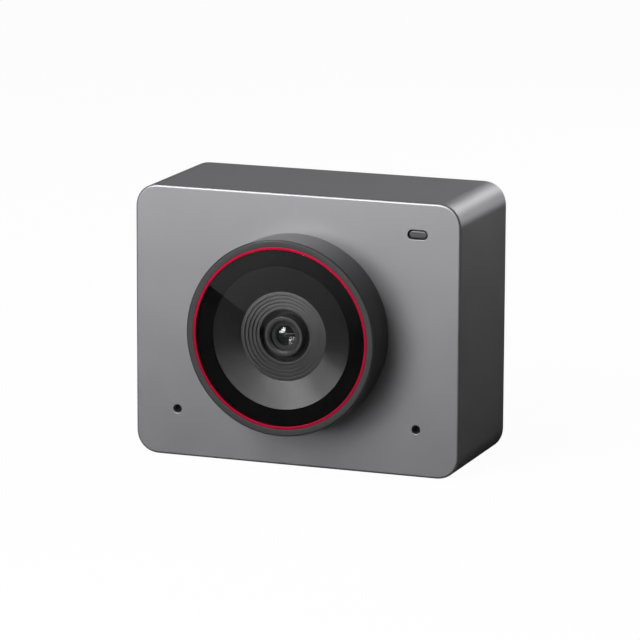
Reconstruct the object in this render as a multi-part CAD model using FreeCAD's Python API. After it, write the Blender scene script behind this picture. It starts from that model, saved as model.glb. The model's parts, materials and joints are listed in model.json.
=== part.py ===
import FreeCAD, Part
import math
import os

# A small block-shaped webcam head. Millimetres.
# +Z is up, the lens looks along -Y, +X is on the right seen from the front.
# The origin is the mouth of the tripod socket, at the middle of the bottom face.

# Body block
BODY_WIDTH = 60.0
BODY_HEIGHT = 48.2
BODY_DEPTH = 25.0
BODY_CORNER_RADIUS = 4.0
FRONT_EDGE_RADIUS = 0.5
REAR_EDGE_RADIUS = 0.4
SIDE_WALL = 1.8
FACE_WALL = 1.8

# Rear cover, let into the back of the block
COVER_THICKNESS = 1.8
COVER_RIM = 1.2
COVER_GAP = 0.1
COVER_EDGE_RADIUS = 0.25
COVER_LIP_HEIGHT = 1.2
COVER_LIP_THICKNESS = 0.9
COVER_LIP_GAP = 0.15
POST_SIZE = 3.4
VENT_COUNT = 6
VENT_LENGTH = 24.0
VENT_HEIGHT = 1.2
VENT_PITCH = 2.4
VENT_ABOVE_CENTRE = 6.0

# Lens bezel, accent ring and window
LENS_ABOVE_CENTRE = 0.2
BEZEL_PROUD = 8.0
BEZEL_RIM_RADIUS = 17.25
BEZEL_DRAFT = 0.22
BEZEL_RIM_BEVEL = 0.25
BEZEL_RIM_WIDTH = 1.25
ACCENT_WIDTH = 0.5
ACCENT_FIT = 0.02
GLASS_THICKNESS = 0.5
GLASS_RECESS = 0.1
GLASS_FIT = 0.05
MASK_WIDTH = 2.9
MASK_THICKNESS = 0.05
ADHESIVE_THICKNESS = 0.15
ADHESIVE_MARGIN = 0.25
BEZEL_SPIGOT_WALL = 0.8
BEZEL_SPIGOT_FIT = 0.1
BEZEL_SPIGOT_BEHIND_FACE = 0.5

# Light baffle: a shallow cone with a saw-toothed zone of rings round its hole
BAFFLE_LIP = 0.35
BAFFLE_FIT = 0.1
BAFFLE_SKIRT = 0.8
BAFFLE_SKIRT_DEPTH = 5.0
BAFFLE_THICKNESS = 0.9
BAFFLE_HOLE_RADIUS = 4.65
BAFFLE_HOLE_DEPTH = 2.56
BAFFLE_HOLE_BEVEL = 0.12
BAFFLE_RING_ZONE_RADIUS = 7.85
BAFFLE_RING_ZONE_DEPTH = 2.1
BAFFLE_RING_COUNT = 5
BAFFLE_RING_LIFT = 0.12

# Lens
LENS_NOSE_RADIUS = 3.5
LENS_NOSE_DEPTH = 2.0
LENS_BODY_RADIUS = 4.1
LENS_WALL = 0.55
LENS_OPENING_RADIUS = 1.75
RETAINER_HEIGHT = 1.2
RETAINER_LIP = 0.05
RETAINER_CHAMFER_WIDTH = 0.33
RETAINER_CHAMFER_DEPTH = 0.25
RETAINER_FLOOR_DEPTH = 0.85
RETAINER_STEP = 0.1
RETAINER_STEP_COUNT = 2
ELEMENT_FIT = 0.02
FRONT_ELEMENT_EDGE = 1.1
FRONT_ELEMENT_DOME = 0.29
FRONT_ELEMENT_BACK_DOME = 0.33
SECOND_ELEMENT_EDGE = 1.0
THIRD_ELEMENT_EDGE = 1.2
REAR_ELEMENT_EDGE = 1.5
SPACER_HEIGHT = 0.3
STOP_THICKNESS = 0.2
STOP_RADIUS = 1.3
ELEMENT_CLEAR_RADIUS = 2.5
ELEMENT_SAG = 0.25
LENS_REAR_LIP = 0.7

# Autofocus drive
FOCUS_TRAVEL = 0.3
FOCUS_CLEARANCE = 0.1
FOAM_THICKNESS = 0.74
FOAM_OUTER_RADIUS = 6.8
FOAM_INNER_RADIUS = 5.4
CAN_HALF_WIDTH = 7.5
CAN_WALL = 0.3
CAN_OPENING_CLEARANCE = 0.4
SPACER_FRAME_WALL = 1.2
SPRING_THICKNESS = 0.06
SPRING_FRAME_WALL = 0.9
SPRING_ARM_WIDTH = 0.35
CARRIER_LENGTH = 4.0
CARRIER_OUTER_RADIUS = 5.35
CARRIER_FLANGE = 0.4
CARRIER_FIT = 0.02
COIL_THICKNESS = 0.6
MAGNET_THICKNESS = 1.3
MAGNET_WIDTH = 8.0
FRAME_FIT = 0.05
BASE_FRAME_HEIGHT = 0.7
BASE_PLATE_THICKNESS = 0.8
BASE_HOLE_CLEARANCE = 0.3

# Sensor stack
HOLDER_HEIGHT = 2.4
HOLDER_INNER_HALF = 5.6
FILTER_HALF = 4.3
FILTER_THICKNESS = 0.3
FILTER_FIT = 0.05
FILTER_WINDOW_HALF = 3.6
HOLDER_ROOF = 0.8
SENSOR_WIDTH = 9.0
SENSOR_HEIGHT = 7.4
SENSOR_THICKNESS = 1.0
SENSOR_RIM = 0.8
SENSOR_RIM_HEIGHT = 0.3
SENSOR_BOARD_HALF_WIDTH = 10.8
SENSOR_BOARD_HALF_HEIGHT = 8.5
SENSOR_BOARD_THICKNESS = 0.8
STIFFENER_THICKNESS = 0.2
BRACKET_THICKNESS = 1.2
BRACKET_HALF_HEIGHT = 10.2
BRACKET_HALF_WIDTH = 12.5
BRACKET_ARM_HALF_HEIGHT = 2.4

# Circuit boards
BOARD_CLEARANCE = 0.5
BOARD_CORNER_RADIUS = 1.0
FRONT_BOARD_THICKNESS = 0.8
FRONT_BOARD_STANDOFF = 1.1
FRONT_BOARD_HOLE_CLEARANCE = 0.6
MAIN_BOARD_THICKNESS = 1.0
CONNECTOR_HEIGHT = 0.8
CONNECTOR_WIDTH = 3.0
FLEX_THICKNESS = 0.15
FLEX_WIDTH = 8.0
FLEX_BEND_RADIUS = 1.5

# Microphones and indicator
MIC_FROM_SIDE = 7.8
MIC_FROM_BOTTOM = 8.4
MIC_HOLE_RADIUS = 0.75
MIC_GASKET_RADIUS = 1.8
MIC_MESH_THICKNESS = 0.1
MIC_PORT_RADIUS = 0.4
MIC_WIDTH = 3.0
MIC_HEIGHT = 3.8
MIC_THICKNESS = 1.0
INDICATOR_FROM_SIDE = 7.8
INDICATOR_FROM_TOP = 5.6
INDICATOR_LENGTH = 3.5
INDICATOR_HEIGHT = 1.56
INDICATOR_FIT = 0.03
INDICATOR_RECESS = 0.2
INDICATOR_FLANGE = 0.25
INDICATOR_FLANGE_THICKNESS = 0.4
LED_LENGTH = 1.6
LED_HEIGHT = 0.8
LED_THICKNESS = 0.6

# Cable inlet, the size of a standard reversible data and power receptacle
USB_SHELL_WIDTH = 8.94
USB_SHELL_HEIGHT = 3.26
USB_SHELL_WALL = 0.3
USB_LENGTH = 10.1
USB_RECESS = 0.4
USB_ABOVE_BOTTOM = 13.5
USB_OPENING_GAP = 0.15
USB_TONGUE_WIDTH = 6.6
USB_TONGUE_THICKNESS = 0.7
USB_TONGUE_SETBACK = 0.9
USB_FOOT_LENGTH = 3.0
USB_CONTACT_COUNT = 12
USB_CONTACT_PITCH = 0.5
USB_CONTACT_WIDTH = 0.25
USB_CONTACT_THICKNESS = 0.05
USB_CONTACT_LENGTH = 4.5
USB_CONTACT_SETBACK = 0.4
USB_FOOT_FIT = 0.02

# Processor and its cooling
PROCESSOR_SIZE = 12.0
PROCESSOR_THICKNESS = 1.2
PAD_THICKNESS = 0.6
SINK_WIDTH = 24.0
SINK_HEIGHT = 20.0
SINK_BASE = 1.4
SINK_FIN_HEIGHT = 4.6
SINK_FIN_COUNT = 9
SINK_FIN_THICKNESS = 0.8
SINK_POST_RADIUS = 1.5
SINK_POST_INSET = 2.2
MEMORY_WIDTH = 10.0
MEMORY_HEIGHT = 8.0
CHIP_THICKNESS = 1.0
CHIP_CORNER_RADIUS = 0.3
CHIP_SIZE = 4.0
CHIP_COUNT = 3
CHIP_PITCH = 6.0
PASSIVE_COUNT = 9
PASSIVE_PITCH = 1.9
PASSIVE_LENGTH = 1.6
PASSIVE_WIDTH = 0.8

# Tripod socket: 1/4 inch, 20 threads per inch
SOCKET_BORE_RADIUS = 2.55
INSERT_RADIUS = 4.0
INSERT_LENGTH = 7.0
INSERT_FLANGE_RADIUS = 4.8
INSERT_FLANGE_THICKNESS = 0.6
INSERT_GROOVE_DEPTH = 0.4
INSERT_GROOVE_WIDTH = 0.8
INSERT_FIT = 0.02
SOCKET_BOSS_WALL = 1.6
SOCKET_BOSS_ROOF = 1.4
SOCKET_BOSS_CLEARANCE = 0.4

# Screws: radius of thread, radius of head, height of head
LARGE_SCREW = (0.8, 1.4, 0.9)
SMALL_SCREW = (0.6, 1.15, 0.7)
SCREW_FIT = 0.02
SCREW_HOLE_CLEARANCE = 0.1
SCREW_HEAD_CLEARANCE = 0.1
SCREW_DRIVE_WIDTH = 0.3
SCREW_DRIVE_SPAN = 0.65
SCREW_TIP_CLEARANCE = 0.2
BEZEL_SCREW_COUNT = 3
BEZEL_SCREW_BITE = 3.2
FRONT_BOARD_SCREW_BITE = 1.8
SINK_SCREW_BITE = 2.6
BOSS_SCREW_BITE = 4.0
COVER_SCREW_BITE = 5.0
COVER_SCREW_SEAT = 0.8
BOSS_RADIUS = 2.1
SMALL_BOSS_RADIUS = 1.6
WALL_BITE = 0.9
MAIN_BOSS_FROM_CENTRE = 12.0
MAIN_BOSS_FROM_WALL = 2.0
BRACKET_BOSS_FROM_CENTRE = 8.0
FRONT_BOSS_ABOVE_CENTRE = 12.6
SENSOR_SCREW_FROM_EDGE = 1.5

# How close two coordinates are that count as the same
NEAR = 0.001

# How far a cutting tool reaches past what it cuts
PAST = 1.0

# Places that follow from the sizes above
FACE_Y = -BODY_DEPTH / 2
REAR_Y = BODY_DEPTH / 2
FACE_INNER_Y = FACE_Y + FACE_WALL
COVER_INNER_Y = REAR_Y - COVER_THICKNESS
RIM_Y = FACE_Y - BEZEL_PROUD
CENTRE_Z = BODY_HEIGHT / 2
LENS_Z = CENTRE_Z + LENS_ABOVE_CENTRE
INSIDE_HALF_WIDTH = BODY_WIDTH / 2 - SIDE_WALL
INSIDE_HALF_HEIGHT = BODY_HEIGHT / 2 - SIDE_WALL
POST_X = INSIDE_HALF_WIDTH - POST_SIZE / 2
POST_Z = INSIDE_HALF_HEIGHT - POST_SIZE / 2

BEZEL_BASE_RADIUS = BEZEL_RIM_RADIUS - BEZEL_DRAFT
ACCENT_OUTER_RADIUS = BEZEL_RIM_RADIUS - BEZEL_RIM_WIDTH
ACCENT_INNER_RADIUS = ACCENT_OUTER_RADIUS - ACCENT_WIDTH
GLASS_RADIUS = ACCENT_INNER_RADIUS - GLASS_FIT
MASK_INNER_RADIUS = GLASS_RADIUS - MASK_WIDTH
GLASS_BACK = GLASS_RECESS + GLASS_THICKNESS
MASK_BACK = GLASS_BACK + MASK_THICKNESS
LEDGE_DEPTH = MASK_BACK + ADHESIVE_THICKNESS
BAFFLE_RADIUS = MASK_INNER_RADIUS + BAFFLE_LIP
BAFFLE_FRONT = MASK_BACK + BAFFLE_FIT
BEZEL_BORE_RADIUS = BAFFLE_RADIUS + BAFFLE_FIT
BEZEL_THROAT_RADIUS = BAFFLE_RADIUS - BAFFLE_SKIRT
SPIGOT_RADIUS = BEZEL_BORE_RADIUS + BEZEL_SPIGOT_WALL
BEZEL_OPENING_RADIUS = SPIGOT_RADIUS + BEZEL_SPIGOT_FIT
SPIGOT_END = BEZEL_PROUD + FACE_WALL + BEZEL_SPIGOT_BEHIND_FACE
BEZEL_SCREW_CIRCLE = (SPIGOT_RADIUS + BEZEL_BASE_RADIUS) / 2

LENS_BORE_RADIUS = LENS_NOSE_RADIUS - LENS_WALL
ELEMENT_RADIUS = LENS_BORE_RADIUS - ELEMENT_FIT
FRONT_ELEMENT_FRONT = LENS_NOSE_DEPTH + RETAINER_HEIGHT
FIRST_SPACER_FRONT = FRONT_ELEMENT_FRONT + FRONT_ELEMENT_EDGE
SECOND_ELEMENT_FRONT = FIRST_SPACER_FRONT + SPACER_HEIGHT
STOP_FRONT = SECOND_ELEMENT_FRONT + SECOND_ELEMENT_EDGE
THIRD_ELEMENT_FRONT = STOP_FRONT + STOP_THICKNESS
SECOND_SPACER_FRONT = THIRD_ELEMENT_FRONT + THIRD_ELEMENT_EDGE
REAR_ELEMENT_FRONT = SECOND_SPACER_FRONT + SPACER_HEIGHT
LENS_LIP_FRONT = REAR_ELEMENT_FRONT + REAR_ELEMENT_EDGE
LENS_REAR = LENS_LIP_FRONT + LENS_REAR_LIP

CAN_FRONT = BAFFLE_HOLE_DEPTH + BAFFLE_THICKNESS + FOAM_THICKNESS
SPACER_FRAME_FRONT = CAN_FRONT + CAN_WALL
FRONT_SPRING_FRONT = SPACER_FRAME_FRONT + FOCUS_TRAVEL + FOCUS_CLEARANCE
CARRIER_FRONT = FRONT_SPRING_FRONT + SPRING_THICKNESS
CARRIER_BACK = CARRIER_FRONT + CARRIER_LENGTH
BASE_FRAME_FRONT = CARRIER_BACK + SPRING_THICKNESS
BASE_PLATE_FRONT = BASE_FRAME_FRONT + BASE_FRAME_HEIGHT
HOLDER_FRONT = BASE_PLATE_FRONT + BASE_PLATE_THICKNESS
SENSOR_BOARD_FRONT = HOLDER_FRONT + HOLDER_HEIGHT
STIFFENER_FRONT = SENSOR_BOARD_FRONT + SENSOR_BOARD_THICKNESS
BRACKET_FRONT = STIFFENER_FRONT + STIFFENER_THICKNESS
BRACKET_BACK = BRACKET_FRONT + BRACKET_THICKNESS
CAN_INNER_HALF = CAN_HALF_WIDTH - CAN_WALL
FRAME_HALF = CAN_INNER_HALF - FRAME_FIT
CARRIER_BORE_RADIUS = LENS_BODY_RADIUS + CARRIER_FIT

BRACKET_FRONT_Y = RIM_Y + BRACKET_FRONT
BRACKET_BACK_Y = RIM_Y + BRACKET_BACK
FRONT_BOARD_FRONT_Y = FACE_INNER_Y + FRONT_BOARD_STANDOFF
FRONT_BOARD_BACK_Y = FRONT_BOARD_FRONT_Y + FRONT_BOARD_THICKNESS
USB_MOUTH_Y = REAR_Y - USB_RECESS
MAIN_BOARD_BACK_Y = USB_MOUTH_Y - USB_LENGTH
MAIN_BOARD_FRONT_Y = MAIN_BOARD_BACK_Y - MAIN_BOARD_THICKNESS
BOARD_HALF_WIDTH = INSIDE_HALF_WIDTH - POST_SIZE - BOARD_CLEARANCE
BOARD_HALF_HEIGHT = INSIDE_HALF_HEIGHT - BOARD_CLEARANCE
FRONT_BOARD_HOLE_RADIUS = BEZEL_SCREW_CIRCLE + SMALL_SCREW[1] + FRONT_BOARD_HOLE_CLEARANCE
STRIP_X = (FRONT_BOARD_HOLE_RADIUS + BOARD_HALF_WIDTH) / 2
STRIP_Z = (FRONT_BOARD_HOLE_RADIUS + BOARD_HALF_HEIGHT) / 2
MIC_X = BODY_WIDTH / 2 - MIC_FROM_SIDE
MIC_Z = MIC_FROM_BOTTOM
INDICATOR_X = BODY_WIDTH / 2 - INDICATOR_FROM_SIDE
INDICATOR_Z = BODY_HEIGHT - INDICATOR_FROM_TOP
SINK_Z = CENTRE_Z + VENT_ABOVE_CENTRE
SINK_BASE_FRONT_Y = MAIN_BOARD_BACK_Y + PROCESSOR_THICKNESS + PAD_THICKNESS
SOCKET_BOSS_RADIUS = INSERT_RADIUS + SOCKET_BOSS_WALL
SOCKET_BOSS_TOP = INSERT_LENGTH + SOCKET_BOSS_ROOF


def block(x_range, y_range, z_range):
    size = [high - low for low, high in (x_range, y_range, z_range)]
    return Part.makeBox(*size, FreeCAD.Vector(x_range[0], y_range[0], z_range[0]))


def plate(width, height, radius, y_range, x=0.0, z=0.0):
    """A slab along Y with rounded corners in the XZ plane."""
    solid = block(
        (x - width / 2, x + width / 2),
        y_range,
        (z - height / 2, z + height / 2),
    )
    return solid.makeFillet(radius, [e for e in solid.Edges if runs_along_y(e)])


def runs_along_y(edge):
    tangent = edge.tangentAt(edge.FirstParameter)
    return abs(tangent.y) > abs(tangent.x) + abs(tangent.z)


def stadium(length, height, y_range, x=0.0, z=0.0):
    """A slab along Y with half-round ends, longest along X."""
    reach = (length - height) / 2
    middle = block((x - reach, x + reach), y_range, (z - height / 2, z + height / 2))
    ends = [rod(height / 2, y_range, x + side * reach, z) for side in (-1, 1)]
    return joined([middle] + ends)


def rod(radius, y_range, x=0.0, z=0.0):
    start = FreeCAD.Vector(x, y_range[0], z)
    return Part.makeCylinder(radius, y_range[1] - y_range[0], start, FreeCAD.Vector(0, 1, 0))


def upright_rod(radius, bottom, top):
    """A rod along the tripod socket's axis."""
    return Part.makeCylinder(radius, top - bottom, FreeCAD.Vector(0, 0, bottom))


def washer(outer, inner, y_range, x=0.0, z=0.0):
    past = beyond(y_range)
    return rod(outer, y_range, x, z).cut(rod(inner, past, x, z))


def beyond(y_range):
    return (y_range[0] - PAST, y_range[1] + PAST)


def joined(shapes):
    return shapes[0].multiFuse(shapes[1:]).removeSplitter()


def behind_rim(front, back):
    """A Y range from two depths behind the plane of the bezel's rim."""
    return (RIM_Y + front, RIM_Y + back)


def turned(outline):
    """Turns an outline of (radius, depth behind the rim) about the lens axis."""
    corners = [FreeCAD.Vector(radius, RIM_Y + depth, 0) for radius, depth in outline]
    face = Part.Face(Part.makePolygon(corners + corners[:1]))
    solid = face.revolve(FreeCAD.Vector(0, 0, 0), FreeCAD.Vector(0, 1, 0), 360)
    solid.translate(FreeCAD.Vector(0, 0, LENS_Z))
    return solid


def square_frame(outer_half, inner_half, y_range):
    past = beyond(y_range)
    outer = square(outer_half, y_range)
    return outer.cut(square(inner_half, past))


def square(half, y_range):
    return block((-half, half), y_range, (LENS_Z - half, LENS_Z + half))


def four_places(x, z, centre_z=CENTRE_Z):
    return [(sx * x, centre_z + sz * z) for sx in (-1, 1) for sz in (-1, 1)]


def screw(size, x, z, seat_y, length, toward):
    """A pan head screw along Y. toward is the side that its tip points to, -1 or 1."""
    thread_radius, head_radius, head_height = size
    shank = rod(thread_radius, sorted((seat_y, seat_y + toward * length)), x, z)
    head_y = sorted((seat_y, seat_y - toward * head_height))
    head = rod(head_radius, head_y, x, z)
    outer_y = seat_y - toward * head_height
    inner_y = seat_y - toward * head_height / 2
    drive_y = sorted((inner_y, outer_y - toward * head_height))
    span = head_radius * SCREW_DRIVE_SPAN
    half = SCREW_DRIVE_WIDTH / 2
    cross = [
        block((x - span, x + span), drive_y, (z - half, z + half)),
        block((x - half, x + half), drive_y, (z - span, z + span)),
    ]
    return joined([head, shank]).cut(cross)


def thread_hole(size, x, z, mouth_y, depth, toward):
    radius = size[0] + SCREW_FIT
    bottom = mouth_y + toward * (depth + SCREW_TIP_CLEARANCE)
    start = mouth_y - toward * SCREW_TIP_CLEARANCE
    return rod(radius, sorted((bottom, start)), x, z)


def through_hole(size, x, z, y_range):
    past = beyond(y_range)
    return rod(size[0] + SCREW_HOLE_CLEARANCE, past, x, z)


# Where the screws and bosses stand, as (x, z)

def cover_screw_places():
    return four_places(POST_X, POST_Z)


def main_boss_places():
    return four_places(MAIN_BOSS_FROM_CENTRE, INSIDE_HALF_HEIGHT - MAIN_BOSS_FROM_WALL)


def bracket_boss_places():
    return four_places(STRIP_X, BRACKET_BOSS_FROM_CENTRE, LENS_Z)


def front_board_screw_places():
    upper = [(side * STRIP_X, CENTRE_Z + FRONT_BOSS_ABOVE_CENTRE) for side in (-1, 1)]
    middle = [(0, CENTRE_Z + side * STRIP_Z) for side in (-1, 1)]
    return upper + middle


def bezel_screw_places():
    turns = [math.pi / 2 + 2 * math.pi * i / BEZEL_SCREW_COUNT for i in range(BEZEL_SCREW_COUNT)]
    return [
        (BEZEL_SCREW_CIRCLE * math.cos(turn), LENS_Z + BEZEL_SCREW_CIRCLE * math.sin(turn))
        for turn in turns
    ]


def sink_post_places():
    return four_places(SINK_WIDTH / 2 - SINK_POST_INSET, SINK_HEIGHT / 2 - SINK_POST_INSET, SINK_Z)


def sensor_screw_places():
    x = SENSOR_BOARD_HALF_WIDTH - SENSOR_SCREW_FROM_EDGE
    return [(side * x, LENS_Z) for side in (-1, 1)]


def mic_places():
    return [(side * MIC_X, MIC_Z) for side in (-1, 1)]


# Housing

def body_block():
    solid = plate(BODY_WIDTH, BODY_HEIGHT, BODY_CORNER_RADIUS, (FACE_Y, REAR_Y), z=CENTRE_Z)
    solid = solid.makeFillet(FRONT_EDGE_RADIUS, edges_at(solid, FACE_Y))
    return solid.makeFillet(REAR_EDGE_RADIUS, edges_at(solid, REAR_Y))


def edges_at(solid, y):
    """The edges that lie in the plane at y."""
    return [e for e in solid.Edges if all(abs(v.Y - y) < NEAR for v in e.Vertexes)]


def inside_slab(margin, y_range):
    """The room inside the side walls, grown by a margin."""
    return plate(
        2 * (INSIDE_HALF_WIDTH + margin),
        2 * (INSIDE_HALF_HEIGHT + margin),
        BODY_CORNER_RADIUS - SIDE_WALL + margin,
        y_range,
        z=CENTRE_Z,
    )


def housing_bosses():
    start = FACE_INNER_Y - WALL_BITE
    bosses = []
    for x, z in cover_screw_places():
        half = POST_SIZE / 2 + WALL_BITE
        outward_x = math.copysign(WALL_BITE, x)
        outward_z = math.copysign(WALL_BITE, z - CENTRE_Z)
        bosses.append(block(
            (x + outward_x - half, x + outward_x + half),
            (start, COVER_INNER_Y),
            (z + outward_z - half, z + outward_z + half),
        ))
    for x, z in main_boss_places():
        bosses.append(rod(BOSS_RADIUS, (start, MAIN_BOARD_FRONT_Y), x, z))
        wall_z = CENTRE_Z + math.copysign(INSIDE_HALF_HEIGHT + WALL_BITE, z - CENTRE_Z)
        bosses.append(block(
            (x - BOSS_RADIUS / 2, x + BOSS_RADIUS / 2),
            (start, MAIN_BOARD_FRONT_Y),
            sorted((z, wall_z)),
        ))
    for x, z in bracket_boss_places():
        bosses.append(rod(BOSS_RADIUS, (start, BRACKET_FRONT_Y), x, z))
    for x, z in front_board_screw_places():
        bosses.append(rod(SMALL_BOSS_RADIUS, (start, FRONT_BOARD_FRONT_Y), x, z))
    bosses.append(upright_rod(SOCKET_BOSS_RADIUS, 0, SOCKET_BOSS_TOP))
    return joined(bosses).common(inside_slab(WALL_BITE, (start, COVER_INNER_Y)))


def housing_screw_holes():
    holes = []
    for x, z in cover_screw_places():
        depth = COVER_SCREW_BITE
        holes.append(thread_hole(LARGE_SCREW, x, z, COVER_INNER_Y, depth, -1))
    for x, z in main_boss_places():
        holes.append(thread_hole(LARGE_SCREW, x, z, MAIN_BOARD_FRONT_Y, BOSS_SCREW_BITE, -1))
    for x, z in bracket_boss_places():
        holes.append(thread_hole(LARGE_SCREW, x, z, BRACKET_FRONT_Y, BOSS_SCREW_BITE, -1))
    for x, z in front_board_screw_places():
        holes.append(thread_hole(SMALL_SCREW, x, z, FRONT_BOARD_FRONT_Y, FRONT_BOARD_SCREW_BITE, -1))
    for x, z in bezel_screw_places():
        holes.append(through_hole(SMALL_SCREW, x, z, (FACE_Y, FACE_INNER_Y)))
    return holes


def insert_seat(clearance):
    """The room that the tripod insert fills, grown by a clearance."""
    stem = upright_rod(INSERT_RADIUS + clearance, -PAST, INSERT_LENGTH)
    flange = upright_rod(INSERT_FLANGE_RADIUS + clearance, -PAST, INSERT_FLANGE_THICKNESS + clearance)
    return joined([stem, flange])


def front_housing():
    past_face = beyond((FACE_Y, FACE_INNER_Y))
    shell = body_block().cut(inside_slab(0, (FACE_INNER_Y, REAR_Y + PAST)))
    rebate = plate(
        BODY_WIDTH - 2 * COVER_RIM,
        BODY_HEIGHT - 2 * COVER_RIM,
        BODY_CORNER_RADIUS - COVER_RIM,
        (COVER_INNER_Y, REAR_Y + PAST),
        z=CENTRE_Z,
    )
    shell = joined([shell.cut(rebate), housing_bosses()])
    openings = [rod(BEZEL_OPENING_RADIUS, past_face, 0, LENS_Z)]
    openings += [rod(MIC_HOLE_RADIUS, past_face, x, z) for x, z in mic_places()]
    openings.append(stadium(INDICATOR_LENGTH, INDICATOR_HEIGHT, past_face, INDICATOR_X, INDICATOR_Z))
    openings.append(insert_seat(INSERT_FIT))
    return shell.cut(openings + housing_screw_holes())


def rear_cover():
    width = BODY_WIDTH - 2 * (COVER_RIM + COVER_GAP)
    height = BODY_HEIGHT - 2 * (COVER_RIM + COVER_GAP)
    radius = BODY_CORNER_RADIUS - COVER_RIM - COVER_GAP
    panel = plate(width, height, radius, (COVER_INNER_Y, REAR_Y), z=CENTRE_Z)
    panel = panel.makeFillet(COVER_EDGE_RADIUS, edges_at(panel, REAR_Y))
    cover = joined([panel] + cover_lips())
    past = beyond((COVER_INNER_Y, REAR_Y))
    cuts = vent_slots(past)
    gap = 2 * USB_OPENING_GAP
    cuts.append(stadium(USB_SHELL_WIDTH + gap, USB_SHELL_HEIGHT + gap, past, 0, USB_ABOVE_BOTTOM))
    for x, z in cover_screw_places():
        cuts.append(through_hole(LARGE_SCREW, x, z, past))
        head_room = LARGE_SCREW[1] + SCREW_HEAD_CLEARANCE
        cuts.append(rod(head_room, (COVER_INNER_Y + COVER_SCREW_SEAT, REAR_Y + PAST), x, z))
    return cover.cut(cuts)


def vent_slots(y_range):
    first = SINK_Z - VENT_PITCH * (VENT_COUNT - 1) / 2
    return [
        stadium(VENT_LENGTH, VENT_HEIGHT, y_range, 0, first + VENT_PITCH * i)
        for i in range(VENT_COUNT)
    ]


def cover_lips():
    """Bars inside the side walls, between the corner posts, that centre the cover."""
    y_range = (COVER_INNER_Y - COVER_LIP_HEIGHT, COVER_INNER_Y)
    outer_x = INSIDE_HALF_WIDTH - COVER_LIP_GAP
    outer_z = INSIDE_HALF_HEIGHT - COVER_LIP_GAP
    reach_x = INSIDE_HALF_WIDTH - POST_SIZE - COVER_LIP_GAP
    reach_z = INSIDE_HALF_HEIGHT - POST_SIZE - COVER_LIP_GAP
    lips = []
    for side in (-1, 1):
        across = sorted((side * outer_x, side * (outer_x - COVER_LIP_THICKNESS)))
        lips.append(block(across, y_range, (CENTRE_Z - reach_z, CENTRE_Z + reach_z)))
        level = sorted((CENTRE_Z + side * outer_z, CENTRE_Z + side * (outer_z - COVER_LIP_THICKNESS)))
        lips.append(block((-reach_x, reach_x), y_range, level))
    return lips


def tripod_insert():
    """A threaded brass insert, moulded in, with two grooves that the housing grips."""
    insert = insert_seat(0).common(upright_rod(INSERT_FLANGE_RADIUS + PAST, 0, INSERT_LENGTH))
    cuts = [upright_rod(SOCKET_BORE_RADIUS, -PAST, INSERT_LENGTH + PAST)]
    for level in (INSERT_LENGTH / 3, 2 * INSERT_LENGTH / 3):
        outer = upright_rod(INSERT_RADIUS + PAST, level, level + INSERT_GROOVE_WIDTH)
        core = upright_rod(INSERT_RADIUS - INSERT_GROOVE_DEPTH, level, level + INSERT_GROOVE_WIDTH)
        cuts.append(outer.cut(core))
    return insert.cut(cuts)


# Bezel and window

def lens_bezel():
    ring = turned([
        (BEZEL_BASE_RADIUS, BEZEL_PROUD),
        (BEZEL_RIM_RADIUS, BEZEL_RIM_BEVEL),
        (BEZEL_RIM_RADIUS - BEZEL_RIM_BEVEL, 0),
        (ACCENT_OUTER_RADIUS + ACCENT_FIT, 0),
        (ACCENT_OUTER_RADIUS + ACCENT_FIT, LEDGE_DEPTH),
        (BEZEL_BORE_RADIUS, LEDGE_DEPTH),
        (BEZEL_BORE_RADIUS, BAFFLE_SKIRT_DEPTH),
        (BEZEL_THROAT_RADIUS, BAFFLE_SKIRT_DEPTH),
        (BEZEL_THROAT_RADIUS, SPIGOT_END),
        (SPIGOT_RADIUS, SPIGOT_END),
        (SPIGOT_RADIUS, BEZEL_PROUD),
    ])
    return ring.cut([
        thread_hole(SMALL_SCREW, x, z, FACE_Y, BEZEL_SCREW_BITE, -1)
        for x, z in bezel_screw_places()
    ])


def accent_ring():
    return washer(ACCENT_OUTER_RADIUS, ACCENT_INNER_RADIUS, behind_rim(0, LEDGE_DEPTH), 0, LENS_Z)


def cover_glass():
    return rod(GLASS_RADIUS, behind_rim(GLASS_RECESS, GLASS_BACK), 0, LENS_Z)


def glass_mask():
    return washer(GLASS_RADIUS, MASK_INNER_RADIUS, behind_rim(GLASS_BACK, MASK_BACK), 0, LENS_Z)


def glass_adhesive():
    outer = GLASS_RADIUS - ADHESIVE_MARGIN
    inner = BEZEL_BORE_RADIUS + ADHESIVE_MARGIN
    return washer(outer, inner, behind_rim(MASK_BACK, LEDGE_DEPTH), 0, LENS_Z)


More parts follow.
